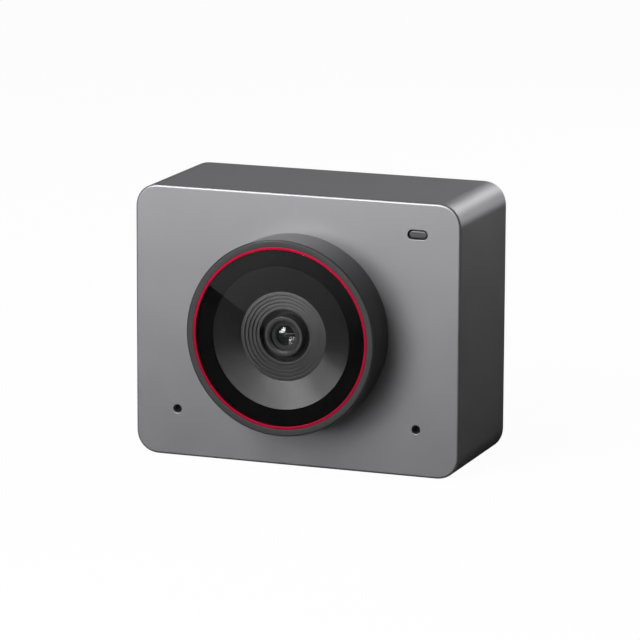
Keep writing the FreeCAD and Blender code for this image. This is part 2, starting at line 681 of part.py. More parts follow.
def light_baffle():
    """A cone whose floor carries rings. Each leans outwards and ends in a riser on its inner side."""
    ring_pitch = (BAFFLE_RING_ZONE_RADIUS - BAFFLE_HOLE_RADIUS) / BAFFLE_RING_COUNT
    last_ring_depth = BAFFLE_HOLE_DEPTH + BAFFLE_RING_LIFT
    depth_pitch = (last_ring_depth - BAFFLE_RING_ZONE_DEPTH) / (BAFFLE_RING_COUNT - 1)
    outline = [(BAFFLE_RADIUS, BAFFLE_FRONT), (MASK_INNER_RADIUS, BAFFLE_FRONT)]
    for i in range(BAFFLE_RING_COUNT):
        outer = BAFFLE_RING_ZONE_RADIUS - i * ring_pitch
        depth = BAFFLE_RING_ZONE_DEPTH + i * depth_pitch
        outline.append((outer, depth))
        outline.append((outer - ring_pitch, depth - BAFFLE_RING_LIFT))
    outline[-1] = (BAFFLE_HOLE_RADIUS + BAFFLE_HOLE_BEVEL, BAFFLE_HOLE_DEPTH)
    back = BAFFLE_HOLE_DEPTH + BAFFLE_THICKNESS
    cone_depth = BAFFLE_RING_ZONE_DEPTH - BAFFLE_FRONT
    slope = cone_depth / (MASK_INNER_RADIUS - BAFFLE_RING_ZONE_RADIUS)
    skirt_inner = BAFFLE_RADIUS - BAFFLE_SKIRT
    outline += [
        (BAFFLE_HOLE_RADIUS, BAFFLE_HOLE_DEPTH + BAFFLE_HOLE_BEVEL),
        (BAFFLE_HOLE_RADIUS, back),
        (BAFFLE_RING_ZONE_RADIUS, back),
        (skirt_inner, back - slope * (skirt_inner - BAFFLE_RING_ZONE_RADIUS)),
        (skirt_inner, BAFFLE_SKIRT_DEPTH),
        (BAFFLE_RADIUS, BAFFLE_SKIRT_DEPTH),
    ]
    return turned(outline)


def lens_foam():
    y_range = behind_rim(BAFFLE_HOLE_DEPTH + BAFFLE_THICKNESS, CAN_FRONT)
    return washer(FOAM_OUTER_RADIUS, FOAM_INNER_RADIUS, y_range, 0, LENS_Z)


# Lens

def lens_barrel():
    return turned([
        (LENS_BORE_RADIUS, LENS_NOSE_DEPTH),
        (LENS_NOSE_RADIUS, LENS_NOSE_DEPTH),
        (LENS_NOSE_RADIUS, CARRIER_FRONT),
        (LENS_BODY_RADIUS, CARRIER_FRONT),
        (LENS_BODY_RADIUS, LENS_REAR),
        (ELEMENT_CLEAR_RADIUS, LENS_REAR),
        (ELEMENT_CLEAR_RADIUS, LENS_LIP_FRONT),
        (LENS_BORE_RADIUS, LENS_LIP_FRONT),
    ])


def lens_retainer():
    """A ring with a chamfered mouth and a sunk floor that steps down to its opening."""
    lip_radius = ELEMENT_RADIUS - RETAINER_LIP
    mouth_radius = lip_radius - RETAINER_CHAMFER_WIDTH
    floor = LENS_NOSE_DEPTH + RETAINER_FLOOR_DEPTH
    outline = [
        (ELEMENT_RADIUS, FRONT_ELEMENT_FRONT),
        (ELEMENT_RADIUS, LENS_NOSE_DEPTH),
        (lip_radius, LENS_NOSE_DEPTH),
        (mouth_radius, LENS_NOSE_DEPTH + RETAINER_CHAMFER_DEPTH),
        (mouth_radius, floor),
    ]
    for i in range(RETAINER_STEP_COUNT):
        radius = LENS_OPENING_RADIUS + (RETAINER_STEP_COUNT - i) * RETAINER_STEP
        depth = floor + i * RETAINER_STEP
        outline.append((radius, depth))
        outline.append((radius, depth + RETAINER_STEP))
    outline.append((LENS_OPENING_RADIUS, floor + RETAINER_STEP_COUNT * RETAINER_STEP))
    outline.append((LENS_OPENING_RADIUS, FRONT_ELEMENT_FRONT))
    return turned(outline)


def lens_element(front, edge, front_bulge, back_bulge, clear_radius):
    """A glass disc with spherical faces. A bulge below zero is a hollow face."""
    back = front + edge

    def point(radius, depth):
        return FreeCAD.Vector(radius, RIM_Y + depth, 0)

    def curve(edge_depth, bulge, sign):
        pole = edge_depth - sign * bulge
        sphere = (clear_radius ** 2 + bulge ** 2) / (2 * abs(bulge))
        half_radius = clear_radius / 2
        drop = sphere - math.sqrt(sphere ** 2 - half_radius ** 2)
        middle = pole + sign * math.copysign(drop, bulge)
        return point(0, pole), point(half_radius, middle), point(clear_radius, edge_depth)

    front_pole, front_middle, front_edge = curve(front, front_bulge, 1)
    back_pole, back_middle, back_edge = curve(back, back_bulge, -1)
    edges = [
        Part.Arc(front_pole, front_middle, front_edge).toShape(),
        Part.makeLine(front_edge, point(ELEMENT_RADIUS, front)),
        Part.makeLine(point(ELEMENT_RADIUS, front), point(ELEMENT_RADIUS, back)),
        Part.makeLine(point(ELEMENT_RADIUS, back), back_edge),
        Part.Arc(back_edge, back_middle, back_pole).toShape(),
        Part.makeLine(back_pole, front_pole),
    ]
    solid = Part.Face(Part.Wire(edges)).revolve(FreeCAD.Vector(0, 0, 0), FreeCAD.Vector(0, 1, 0), 360)
    solid.translate(FreeCAD.Vector(0, 0, LENS_Z))
    return solid


def front_element():
    return lens_element(
        FRONT_ELEMENT_FRONT,
        FRONT_ELEMENT_EDGE,
        FRONT_ELEMENT_DOME,
        FRONT_ELEMENT_BACK_DOME,
        LENS_OPENING_RADIUS,
    )


def second_element():
    return lens_element(
        SECOND_ELEMENT_FRONT, SECOND_ELEMENT_EDGE, -ELEMENT_SAG, -ELEMENT_SAG, ELEMENT_CLEAR_RADIUS)


def third_element():
    bulge = STOP_THICKNESS / 2
    return lens_element(THIRD_ELEMENT_FRONT, THIRD_ELEMENT_EDGE, bulge, bulge, ELEMENT_CLEAR_RADIUS)


def rear_element():
    return lens_element(
        REAR_ELEMENT_FRONT, REAR_ELEMENT_EDGE, -ELEMENT_SAG, ELEMENT_SAG, ELEMENT_CLEAR_RADIUS)


def lens_spacers():
    return [
        washer(ELEMENT_RADIUS, ELEMENT_CLEAR_RADIUS, behind_rim(front, front + SPACER_HEIGHT), 0, LENS_Z)
        for front in (FIRST_SPACER_FRONT, SECOND_SPACER_FRONT)
    ]


def aperture_stop():
    """A thin ring with a bevelled opening, which leaves room for the third element's bulge."""
    bulge_edge = STOP_FRONT + STOP_THICKNESS / 2
    return turned([
        (STOP_RADIUS, STOP_FRONT),
        (ELEMENT_RADIUS, STOP_FRONT),
        (ELEMENT_RADIUS, THIRD_ELEMENT_FRONT),
        (ELEMENT_CLEAR_RADIUS, THIRD_ELEMENT_FRONT),
        (STOP_RADIUS, bulge_edge),
    ])


# Autofocus drive

def focus_carrier():
    groove_radius = CARRIER_OUTER_RADIUS - COIL_THICKNESS
    return turned([
        (CARRIER_BORE_RADIUS, CARRIER_FRONT),
        (CARRIER_OUTER_RADIUS, CARRIER_FRONT),
        (CARRIER_OUTER_RADIUS, CARRIER_FRONT + CARRIER_FLANGE),
        (groove_radius, CARRIER_FRONT + CARRIER_FLANGE),
        (groove_radius, CARRIER_BACK - CARRIER_FLANGE),
        (CARRIER_OUTER_RADIUS, CARRIER_BACK - CARRIER_FLANGE),
        (CARRIER_OUTER_RADIUS, CARRIER_BACK),
        (CARRIER_BORE_RADIUS, CARRIER_BACK),
    ])


def focus_coil():
    y_range = behind_rim(CARRIER_FRONT + CARRIER_FLANGE, CARRIER_BACK - CARRIER_FLANGE)
    return washer(CARRIER_OUTER_RADIUS, CARRIER_OUTER_RADIUS - COIL_THICKNESS, y_range, 0, LENS_Z)


def focus_magnets():
    y_range = behind_rim(CARRIER_FRONT, CARRIER_BACK)
    inner = CAN_INNER_HALF - MAGNET_THICKNESS
    half = MAGNET_WIDTH / 2
    magnets = []
    for side in (-1, 1):
        across = sorted((side * inner, side * CAN_INNER_HALF))
        magnets.append(block(across, y_range, (LENS_Z - half, LENS_Z + half)))
        level = sorted((LENS_Z + side * inner, LENS_Z + side * CAN_INNER_HALF))
        magnets.append(block((-half, half), y_range, level))
    return magnets


def actuator_can():
    outer = square(CAN_HALF_WIDTH, behind_rim(CAN_FRONT, BASE_PLATE_FRONT))
    room = square(CAN_INNER_HALF, behind_rim(SPACER_FRAME_FRONT, BASE_PLATE_FRONT + PAST))
    opening_radius = LENS_NOSE_RADIUS + CAN_OPENING_CLEARANCE
    opening = rod(opening_radius, behind_rim(CAN_FRONT - PAST, BASE_PLATE_FRONT), 0, LENS_Z)
    return outer.cut([room, opening])


def actuator_spacer():
    y_range = behind_rim(SPACER_FRAME_FRONT, FRONT_SPRING_FRONT)
    return square_frame(FRAME_HALF, FRAME_HALF - SPACER_FRAME_WALL, y_range)


def actuator_base():
    frame_y = behind_rim(BASE_FRAME_FRONT, BASE_PLATE_FRONT)
    frame = square_frame(FRAME_HALF, FRAME_HALF - SPACER_FRAME_WALL, frame_y)
    floor = square(CAN_HALF_WIDTH, behind_rim(BASE_PLATE_FRONT, HOLDER_FRONT))
    base = joined([frame, floor])
    hole_radius = LENS_BODY_RADIUS + BASE_HOLE_CLEARANCE
    return base.cut(rod(hole_radius, behind_rim(BASE_FRAME_FRONT - PAST, HOLDER_FRONT + PAST), 0, LENS_Z))


def leaf_spring(front):
    """A flat spring: an outer frame, an inner ring and four diagonal arms between them."""
    y_range = behind_rim(front, front + SPRING_THICKNESS)
    inner_half = FRAME_HALF - SPRING_FRAME_WALL
    frame = square_frame(FRAME_HALF, inner_half, y_range)
    middle_radius = (CARRIER_BORE_RADIUS + CARRIER_OUTER_RADIUS) / 2
    ring = washer(CARRIER_OUTER_RADIUS, middle_radius, y_range, 0, LENS_Z)
    arms = []
    for i in range(4):
        arm = block(
            (middle_radius + SPRING_ARM_WIDTH, inner_half * math.sqrt(2) + SPRING_ARM_WIDTH),
            y_range,
            (-SPRING_ARM_WIDTH / 2, SPRING_ARM_WIDTH / 2),
        )
        arm.rotate(FreeCAD.Vector(0, 0, 0), FreeCAD.Vector(0, 1, 0), 45 + 90 * i)
        arm.translate(FreeCAD.Vector(0, 0, LENS_Z))
        arms.append(arm)
    return joined([frame, ring] + arms)


# Sensor stack

def filter_holder():
    body = square(CAN_HALF_WIDTH, behind_rim(HOLDER_FRONT, SENSOR_BOARD_FRONT))
    room = square(HOLDER_INNER_HALF, behind_rim(HOLDER_FRONT + HOLDER_ROOF, SENSOR_BOARD_FRONT + PAST))
    window = square(FILTER_WINDOW_HALF, behind_rim(HOLDER_FRONT - PAST, SENSOR_BOARD_FRONT))
    seat = square(FILTER_HALF + FILTER_FIT, behind_rim(HOLDER_FRONT - PAST, HOLDER_FRONT + FILTER_THICKNESS))
    return body.cut([room, window, seat])


def infrared_filter():
    return square(FILTER_HALF, behind_rim(HOLDER_FRONT, HOLDER_FRONT + FILTER_THICKNESS))


def image_sensor():
    front = SENSOR_BOARD_FRONT - SENSOR_THICKNESS
    package = plate(
        SENSOR_WIDTH, SENSOR_HEIGHT, SENSOR_RIM / 2, behind_rim(front, SENSOR_BOARD_FRONT), z=LENS_Z)
    well = plate(
        SENSOR_WIDTH - 2 * SENSOR_RIM,
        SENSOR_HEIGHT - 2 * SENSOR_RIM,
        SENSOR_RIM / 4,
        behind_rim(front - PAST, front + SENSOR_RIM_HEIGHT),
        z=LENS_Z,
    )
    return package.cut(well)


def sensor_plate(front, back):
    y_range = behind_rim(front, back)
    width = 2 * SENSOR_BOARD_HALF_WIDTH
    height = 2 * SENSOR_BOARD_HALF_HEIGHT
    slab = plate(width, height, BOARD_CORNER_RADIUS, y_range, z=LENS_Z)
    return slab.cut([through_hole(SMALL_SCREW, x, z, y_range) for x, z in sensor_screw_places()])


def sensor_board():
    return sensor_plate(SENSOR_BOARD_FRONT, STIFFENER_FRONT)


def sensor_stiffener():
    return sensor_plate(STIFFENER_FRONT, BRACKET_FRONT)


def camera_bracket():
    y_range = (BRACKET_FRONT_Y, BRACKET_BACK_Y)
    middle = plate(
        2 * BRACKET_HALF_WIDTH, 2 * BRACKET_HALF_HEIGHT, BOARD_CORNER_RADIUS, y_range, z=LENS_Z)
    arms = []
    for level in (-1, 1):
        arms.append(plate(
            2 * (STRIP_X + BRACKET_ARM_HALF_HEIGHT),
            2 * BRACKET_ARM_HALF_HEIGHT,
            BRACKET_ARM_HALF_HEIGHT / 2,
            y_range,
            z=LENS_Z + level * BRACKET_BOSS_FROM_CENTRE,
        ))
    holes = [through_hole(LARGE_SCREW, x, z, y_range) for x, z in bracket_boss_places()]
    for x, z in sensor_screw_places():
        holes.append(rod(SMALL_SCREW[0] + SCREW_FIT, beyond(y_range), x, z))
    return joined([middle] + arms).cut(holes)


# Boards and what stands on them

def board(y_range):
    return plate(2 * BOARD_HALF_WIDTH, 2 * BOARD_HALF_HEIGHT, BOARD_CORNER_RADIUS, y_range, z=CENTRE_Z)


def front_board():
    y_range = (FRONT_BOARD_FRONT_Y, FRONT_BOARD_BACK_Y)
    past = beyond(y_range)
    clear_radius = BOSS_RADIUS + BOARD_CLEARANCE
    cuts = [rod(FRONT_BOARD_HOLE_RADIUS, past, 0, LENS_Z)]
    cuts += [rod(clear_radius, past, x, z) for x, z in bracket_boss_places()]
    for x, z in main_boss_places():
        edge_z = CENTRE_Z + math.copysign(INSIDE_HALF_HEIGHT, z - CENTRE_Z)
        cuts.append(rod(clear_radius, past, x, z))
        cuts.append(block((x - clear_radius, x + clear_radius), past, sorted((z, edge_z))))
    cuts += [through_hole(SMALL_SCREW, x, z, y_range) for x, z in front_board_screw_places()]
    cuts += [rod(MIC_PORT_RADIUS, past, x, z) for x, z in mic_places()]
    return board(y_range).cut(cuts)


def main_board():
    y_range = (MAIN_BOARD_FRONT_Y, MAIN_BOARD_BACK_Y)
    past = beyond(y_range)
    notch_half = SOCKET_BOSS_RADIUS + SOCKET_BOSS_CLEARANCE
    cuts = [block((-notch_half, notch_half), past, (0, SOCKET_BOSS_TOP + SOCKET_BOSS_CLEARANCE))]
    cuts += [through_hole(LARGE_SCREW, x, z, y_range) for x, z in main_boss_places()]
    cuts += [through_hole(SMALL_SCREW, x, z, y_range) for x, z in sink_post_places()]
    return board(y_range).cut(cuts)


def microphones():
    y_range = (FRONT_BOARD_BACK_Y, FRONT_BOARD_BACK_Y + MIC_THICKNESS)
    return [plate(MIC_WIDTH, MIC_HEIGHT, MIC_PORT_RADIUS, y_range, x, z) for x, z in mic_places()]


def mic_gaskets():
    y_range = (FACE_INNER_Y + MIC_MESH_THICKNESS, FRONT_BOARD_FRONT_Y)
    return [washer(MIC_GASKET_RADIUS, MIC_HOLE_RADIUS, y_range, x, z) for x, z in mic_places()]


def mic_meshes():
    y_range = (FACE_INNER_Y, FACE_INNER_Y + MIC_MESH_THICKNESS)
    return [rod(MIC_GASKET_RADIUS, y_range, x, z) for x, z in mic_places()]


def indicator_window():
    stem = stadium(
        INDICATOR_LENGTH - 2 * INDICATOR_FIT,
        INDICATOR_HEIGHT - 2 * INDICATOR_FIT,
        (FACE_Y + INDICATOR_RECESS, FACE_INNER_Y + INDICATOR_FLANGE_THICKNESS),
        INDICATOR_X,
        INDICATOR_Z,
    )
    flange = stadium(
        INDICATOR_LENGTH + 2 * INDICATOR_FLANGE,
        INDICATOR_HEIGHT + 2 * INDICATOR_FLANGE,
        (FACE_INNER_Y, FACE_INNER_Y + INDICATOR_FLANGE_THICKNESS),
        INDICATOR_X,
        INDICATOR_Z,
    )
    return joined([stem, flange])


def indicator_led():
    return block(
        (INDICATOR_X - LED_LENGTH / 2, INDICATOR_X + LED_LENGTH / 2),
        (FRONT_BOARD_FRONT_Y - LED_THICKNESS, FRONT_BOARD_FRONT_Y),
        (INDICATOR_Z - LED_HEIGHT / 2, INDICATOR_Z + LED_HEIGHT / 2),
    )


def sensor_connector_z():
    return LENS_Z + BRACKET_HALF_HEIGHT + 2 * FLEX_BEND_RADIUS + CONNECTOR_WIDTH / 2


def sensor_flex():
    """Leaves the sensor board's top edge, passes over the bracket and lies on the main board's connector."""
    start = SENSOR_BOARD_HALF_HEIGHT
    fold = BRACKET_HALF_HEIGHT + FLEX_BEND_RADIUS
    end = sensor_connector_z() - LENS_Z + CONNECTOR_WIDTH / 2
    end_y = MAIN_BOARD_FRONT_Y - CONNECTOR_HEIGHT - FLEX_THICKNESS
    start_y = RIM_Y + STIFFENER_FRONT - FLEX_THICKNESS
    ribbon = folded_ribbon(start, fold, end, start_y, end_y)
    ribbon.rotate(FreeCAD.Vector(0, 0, 0), FreeCAD.Vector(0, 1, 0), -90)
    ribbon.translate(FreeCAD.Vector(0, 0, LENS_Z))
    return ribbon


def folded_ribbon(start, fold, end, start_y, end_y):
    """A ribbon in the UY plane: out along U, back along Y at the fold, then along U to its end.

    start, fold and end are places along U, and start_y and end_y are the ribbon's front faces.
    The last run goes on outwards where end lies past the fold, and turns back where it doesn't.
    It is made with U as X, and turned and moved afterwards.
    """
    thick = FLEX_THICKNESS
    bend = FLEX_BEND_RADIUS
    across = (-FLEX_WIDTH / 2, FLEX_WIDTH / 2)
    first_centre = (fold - bend, start_y + bend)
    last_u = fold - thick + bend if end > fold else fold - bend
    last_centre = (last_u, end_y + thick - bend)
    last_side = -1 if end > fold else 1
    return joined([
        block((start, first_centre[0]), (start_y, start_y + thick), across),
        quarter_bend(first_centre, (1, -1)),
        block((fold - thick, fold), (first_centre[1], last_centre[1]), across),
        quarter_bend(last_centre, (last_side, 1)),
        block(sorted((last_centre[0], end)), (end_y, end_y + thick), across),
    ])


def quarter_bend(centre, toward):
    """A quarter of a ribbon's bend about a centre (u, y), on the side that toward points to."""
    low = FreeCAD.Vector(centre[0], centre[1], -FLEX_WIDTH / 2)
    ring = Part.makeCylinder(FLEX_BEND_RADIUS, FLEX_WIDTH, low).cut(
        Part.makeCylinder(FLEX_BEND_RADIUS - FLEX_THICKNESS, FLEX_WIDTH, low))
    corner = block(
        sorted((centre[0], centre[0] + toward[0] * FLEX_BEND_RADIUS)),
        sorted((centre[1], centre[1] + toward[1] * FLEX_BEND_RADIUS)),
        (-FLEX_WIDTH / 2, FLEX_WIDTH / 2),
    )
    return ring.common(corner)


def front_board_flex():
    """Joins the connectors of the front board and the main board, which stand in line, beside the bracket."""
    start = -STRIP_X - CONNECTOR_WIDTH / 2
    fold = start + CONNECTOR_WIDTH + FLEX_BEND_RADIUS
    start_y = FRONT_BOARD_BACK_Y + CONNECTOR_HEIGHT
    end_y = MAIN_BOARD_FRONT_Y - CONNECTOR_HEIGHT - FLEX_THICKNESS
    ribbon = folded_ribbon(start, fold, start, start_y, end_y)
    ribbon.translate(FreeCAD.Vector(0, 0, LENS_Z))
    return ribbon


def board_connectors():
    half_width = CONNECTOR_WIDTH / 2
    half_length = FLEX_WIDTH / 2
    main_y = (MAIN_BOARD_FRONT_Y - CONNECTOR_HEIGHT, MAIN_BOARD_FRONT_Y)
    front_y = (FRONT_BOARD_BACK_Y, FRONT_BOARD_BACK_Y + CONNECTOR_HEIGHT)
    beside_lens = (LENS_Z - half_length, LENS_Z + half_length)
    side_x = (-STRIP_X - half_width, -STRIP_X + half_width)
    top_z = sensor_connector_z()
    return [
        block(side_x, front_y, beside_lens),
        block(side_x, main_y, beside_lens),
        block((-half_length, half_length), main_y, (top_z - half_width, top_z + half_width)),
    ]


def processor():
    y_range = (MAIN_BOARD_BACK_Y, MAIN_BOARD_BACK_Y + PROCESSOR_THICKNESS)
    return plate(PROCESSOR_SIZE, PROCESSOR_SIZE, CHIP_CORNER_RADIUS, y_range, z=SINK_Z)


def thermal_pad():
    y_range = (MAIN_BOARD_BACK_Y + PROCESSOR_THICKNESS, SINK_BASE_FRONT_Y)
    return plate(PROCESSOR_SIZE, PROCESSOR_SIZE, CHIP_CORNER_RADIUS, y_range, z=SINK_Z)


def heat_sink():
    base_back = SINK_BASE_FRONT_Y + SINK_BASE
    base = plate(
        SINK_WIDTH, SINK_HEIGHT, CHIP_CORNER_RADIUS, (SINK_BASE_FRONT_Y, base_back), z=SINK_Z)
    pitch = (SINK_WIDTH - SINK_FIN_THICKNESS) / (SINK_FIN_COUNT - 1)
    pieces = [base]
    for i in range(SINK_FIN_COUNT):
        left = -SINK_WIDTH / 2 + i * pitch
        fin = block(
            (left, left + SINK_FIN_THICKNESS),
            (SINK_BASE_FRONT_Y, base_back + SINK_FIN_HEIGHT),
            (SINK_Z - SINK_HEIGHT / 2 + CHIP_CORNER_RADIUS, SINK_Z + SINK_HEIGHT / 2 - CHIP_CORNER_RADIUS),
        )
        pieces.append(fin)
    for x, z in sink_post_places():
        pieces.append(rod(SINK_POST_RADIUS, (MAIN_BOARD_BACK_Y, base_back), x, z))
    holes = [
        thread_hole(SMALL_SCREW, x, z, MAIN_BOARD_BACK_Y, SINK_SCREW_BITE, 1)
        for x, z in sink_post_places()
    ]
    return joined(pieces).cut(holes)


def memory_chip():
    y_range = (MAIN_BOARD_FRONT_Y - CHIP_THICKNESS, MAIN_BOARD_FRONT_Y)
    return plate(MEMORY_WIDTH, MEMORY_HEIGHT, CHIP_CORNER_RADIUS, y_range, z=SINK_Z)


def power_chips():
    y_range = (MAIN_BOARD_BACK_Y, MAIN_BOARD_BACK_Y + CHIP_THICKNESS)
    x = (SINK_WIDTH / 2 + BOARD_HALF_WIDTH) / 2
    first = SINK_Z - CHIP_PITCH * (CHIP_COUNT - 1) / 2
    return [
        plate(CHIP_SIZE, CHIP_SIZE, CHIP_CORNER_RADIUS, y_range, x, first + CHIP_PITCH * i)
        for i in range(CHIP_COUNT)
    ]


def board_passives():
    """A column of small parts on the back of the main board, left of the heat sink."""
    y_range = (MAIN_BOARD_BACK_Y, MAIN_BOARD_BACK_Y + PASSIVE_WIDTH)
    middle_x = -(SINK_WIDTH / 2 + BOARD_HALF_WIDTH) / 2
    first = SINK_Z - PASSIVE_PITCH * (PASSIVE_COUNT - 1) / 2
    pieces = []
    for side in (-1, 1):
        x = middle_x + side * PASSIVE_LENGTH
        for i in range(PASSIVE_COUNT):
            z = first + PASSIVE_PITCH * i
            pieces.append(block(
                (x - PASSIVE_LENGTH / 2, x + PASSIVE_LENGTH / 2),
                y_range,
                (z - PASSIVE_WIDTH / 2, z + PASSIVE_WIDTH / 2),
            ))
    return pieces


# Cable inlet

def usb_room(y_range, margin=0.0):
    """The room inside the receptacle's shell, shrunk by a margin."""
    wall = 2 * (USB_SHELL_WALL + margin)
    return stadium(USB_SHELL_WIDTH - wall, USB_SHELL_HEIGHT - wall, y_range, 0, USB_ABOVE_BOTTOM)


def usb_shell():
    y_range = (MAIN_BOARD_BACK_Y, USB_MOUTH_Y)
    outer = stadium(USB_SHELL_WIDTH, USB_SHELL_HEIGHT, y_range, 0, USB_ABOVE_BOTTOM)
    return outer.cut(usb_room(beyond(y_range)))


def usb_tongue():
    foot = usb_room((MAIN_BOARD_BACK_Y, MAIN_BOARD_BACK_Y + USB_FOOT_LENGTH), USB_FOOT_FIT)
    tongue = plate(
        USB_TONGUE_WIDTH,
        USB_TONGUE_THICKNESS,
        USB_TONGUE_THICKNESS / 4,
        (MAIN_BOARD_BACK_Y, USB_MOUTH_Y - USB_TONGUE_SETBACK),
        z=USB_ABOVE_BOTTOM,
    )
    return joined([foot, tongue])


def usb_contacts():
    back_y = USB_MOUTH_Y - USB_TONGUE_SETBACK - USB_CONTACT_SETBACK
    first_x = -USB_CONTACT_PITCH * (USB_CONTACT_COUNT - 1) / 2
    face = USB_TONGUE_THICKNESS / 2
    contacts = []
    for side in (-1, 1):
        level = sorted((
            USB_ABOVE_BOTTOM + side * face,
            USB_ABOVE_BOTTOM + side * (face + USB_CONTACT_THICKNESS),
        ))
        for i in range(USB_CONTACT_COUNT):
            x = first_x + USB_CONTACT_PITCH * i
            across = (x - USB_CONTACT_WIDTH / 2, x + USB_CONTACT_WIDTH / 2)
            contacts.append(block(across, (back_y - USB_CONTACT_LENGTH, back_y), level))
    return contacts


# Screws, each kind a group of separate solids

def cover_screws():
    seat = COVER_INNER_Y + COVER_SCREW_SEAT
    return [
        screw(LARGE_SCREW, x, z, seat, COVER_SCREW_SEAT + COVER_SCREW_BITE, -1)
        for x, z in cover_screw_places()
    ]


def main_board_screws():
    length = MAIN_BOARD_THICKNESS + BOSS_SCREW_BITE
    return [screw(LARGE_SCREW, x, z, MAIN_BOARD_BACK_Y, length, -1) for x, z in main_boss_places()]


def bracket_screws():
    length = BRACKET_THICKNESS + BOSS_SCREW_BITE
    return [screw(LARGE_SCREW, x, z, BRACKET_BACK_Y, length, -1) for x, z in bracket_boss_places()]


def front_board_screws():
    length = FRONT_BOARD_THICKNESS + FRONT_BOARD_SCREW_BITE
    return [screw(SMALL_SCREW, x, z, FRONT_BOARD_BACK_Y, length, -1) for x, z in front_board_screw_places()]


def bezel_screws():
    length = FACE_WALL + BEZEL_SCREW_BITE
    return [screw(SMALL_SCREW, x, z, FACE_INNER_Y, length, -1) for x, z in bezel_screw_places()]


def sensor_screws():
    seat = RIM_Y + SENSOR_BOARD_FRONT
    length = BRACKET_BACK_Y - seat
    return [screw(SMALL_SCREW, x, z, seat, length, 1) for x, z in sensor_screw_places()]


def heat_sink_screws():
    length = MAIN_BOARD_THICKNESS + SINK_SCREW_BITE
    return [screw(SMALL_SCREW, x, z, MAIN_BOARD_FRONT_Y, length, 1) for x, z in sink_post_places()]


PIECES = (
    front_housing, rear_cover, tripod_insert,
    lens_bezel, accent_ring, cover_glass, glass_mask, glass_adhesive, light_baffle, lens_foam,
    lens_barrel, lens_retainer, front_element, second_element, third_element, rear_element,
    lens_spacers, aperture_stop,
    focus_carrier, focus_coil, focus_magnets, actuator_can, actuator_spacer, actuator_base,
    filter_holder, infrared_filter, image_sensor, sensor_board, sensor_stiffener, sensor_flex,
    camera_bracket,
    front_board, front_board_flex, microphones, mic_gaskets, mic_meshes,
    indicator_window, indicator_led,
    main_board, board_connectors, processor, thermal_pad, heat_sink, memory_chip, power_chips,
    board_passives,
    usb_shell, usb_tongue, usb_contacts,
    cover_screws, main_board_screws, bracket_screws, front_board_screws, bezel_screws,
    sensor_screws, heat_sink_screws,
)


def save(name, made):
    shape = Part.makeCompound(made) if isinstance(made, list) else made
    shape.exportStep(f"parts/{name}.step")


def main():
    os.makedirs("parts", exist_ok=True)
    for piece in PIECES:
        save(piece.__name__, piece())
    save("front_leaf_spring", leaf_spring(FRONT_SPRING_FRONT))
    save("rear_leaf_spring", leaf_spring(CARRIER_BACK))


main()
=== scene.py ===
import json
import math

import bmesh
import bpy
from mathutils import Euler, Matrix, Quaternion, Vector


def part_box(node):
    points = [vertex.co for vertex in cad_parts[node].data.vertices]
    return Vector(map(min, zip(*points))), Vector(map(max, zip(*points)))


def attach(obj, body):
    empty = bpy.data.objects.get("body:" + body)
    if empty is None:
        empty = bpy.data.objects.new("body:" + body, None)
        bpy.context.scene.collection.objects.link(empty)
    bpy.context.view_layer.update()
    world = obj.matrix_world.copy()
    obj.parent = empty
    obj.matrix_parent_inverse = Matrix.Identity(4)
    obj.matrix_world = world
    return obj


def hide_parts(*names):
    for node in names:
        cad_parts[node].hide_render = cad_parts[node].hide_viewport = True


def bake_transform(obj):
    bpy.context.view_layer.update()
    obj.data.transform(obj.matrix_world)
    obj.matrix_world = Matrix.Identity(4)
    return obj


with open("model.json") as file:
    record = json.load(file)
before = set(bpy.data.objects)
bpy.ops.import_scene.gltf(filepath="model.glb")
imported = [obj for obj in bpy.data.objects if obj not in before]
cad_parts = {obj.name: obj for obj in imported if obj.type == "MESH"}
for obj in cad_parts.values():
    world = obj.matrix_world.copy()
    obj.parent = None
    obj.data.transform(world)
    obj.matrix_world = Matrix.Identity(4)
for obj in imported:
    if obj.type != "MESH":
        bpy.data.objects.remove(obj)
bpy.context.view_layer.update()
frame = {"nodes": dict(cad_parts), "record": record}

# A small block-shaped webcam head on a pale floor.
# +Z is up, the lens looks along -Y and +X is on the right seen from the front.
# Sizes are in millimetres, and a mesh is scaled to metres when it is made.
MM = 0.001

# How finely round things are built, and how far a cutter reaches past what it cuts
RING_STEPS = 256
HOLE_STEPS = 48
CORNER_STEPS = 20
EDGE_STEPS = 6
PAST = 1.0

# Points nearer than this are one point, and edges sharper than this many degrees stay sharp
NODE_WELD = 0.001
NODE_SHARP_ANGLE = 35.0
PIECE_WELD = 0.0001
PIECE_SHARP_ANGLE = 30.0

# Body block
BODY_CORNER = 4.0
EASED_CORNER = 4.3
EASED_POWER = 2.2
FRONT_EDGE = 0.42
REAR_EDGE = 0.4
WALL = 1.8
POST_SIZE = 3.4
POST_BITE = 0.3
BOSS_RADIUS = 2.1
SMALL_BOSS_RADIUS = 1.6
BOSS_HOLE_DEPTH = 4.0
SMALL_BOSS_HOLE_DEPTH = 1.8
MIC_HOLE_RADIUS = 0.75
MIC_HOLE_EDGE = 0.12
INDICATOR_LENGTH = 3.32
INDICATOR_HEIGHT = 1.38
INDICATOR_FLANGE = 0.34
INDICATOR_GAP = 0.15
INDICATOR_SINK = 0.08
INDICATOR_EDGE = 0.3
INDICATOR_MOUTH_EDGE = 0.08
SOCKET_BOSS_RADIUS = 5.6
SOCKET_BOSS_TOP = 8.4

# Rear cover
COVER_RIM = 1.2
COVER_GAP = 0.1
COVER_EDGE = 0.25
COVER_LIP_THICKNESS = 0.9
COVER_LIP_GAP = 0.15
VENT_COUNT = 6
VENT_LENGTH = 24.0
VENT_HEIGHT = 1.2
VENT_PITCH = 2.4
VENT_EDGE = 0.2
COUNTERBORE_RADIUS = 1.5
COUNTERBORE_DEPTH = 1.0
INLET_GAP = 0.15

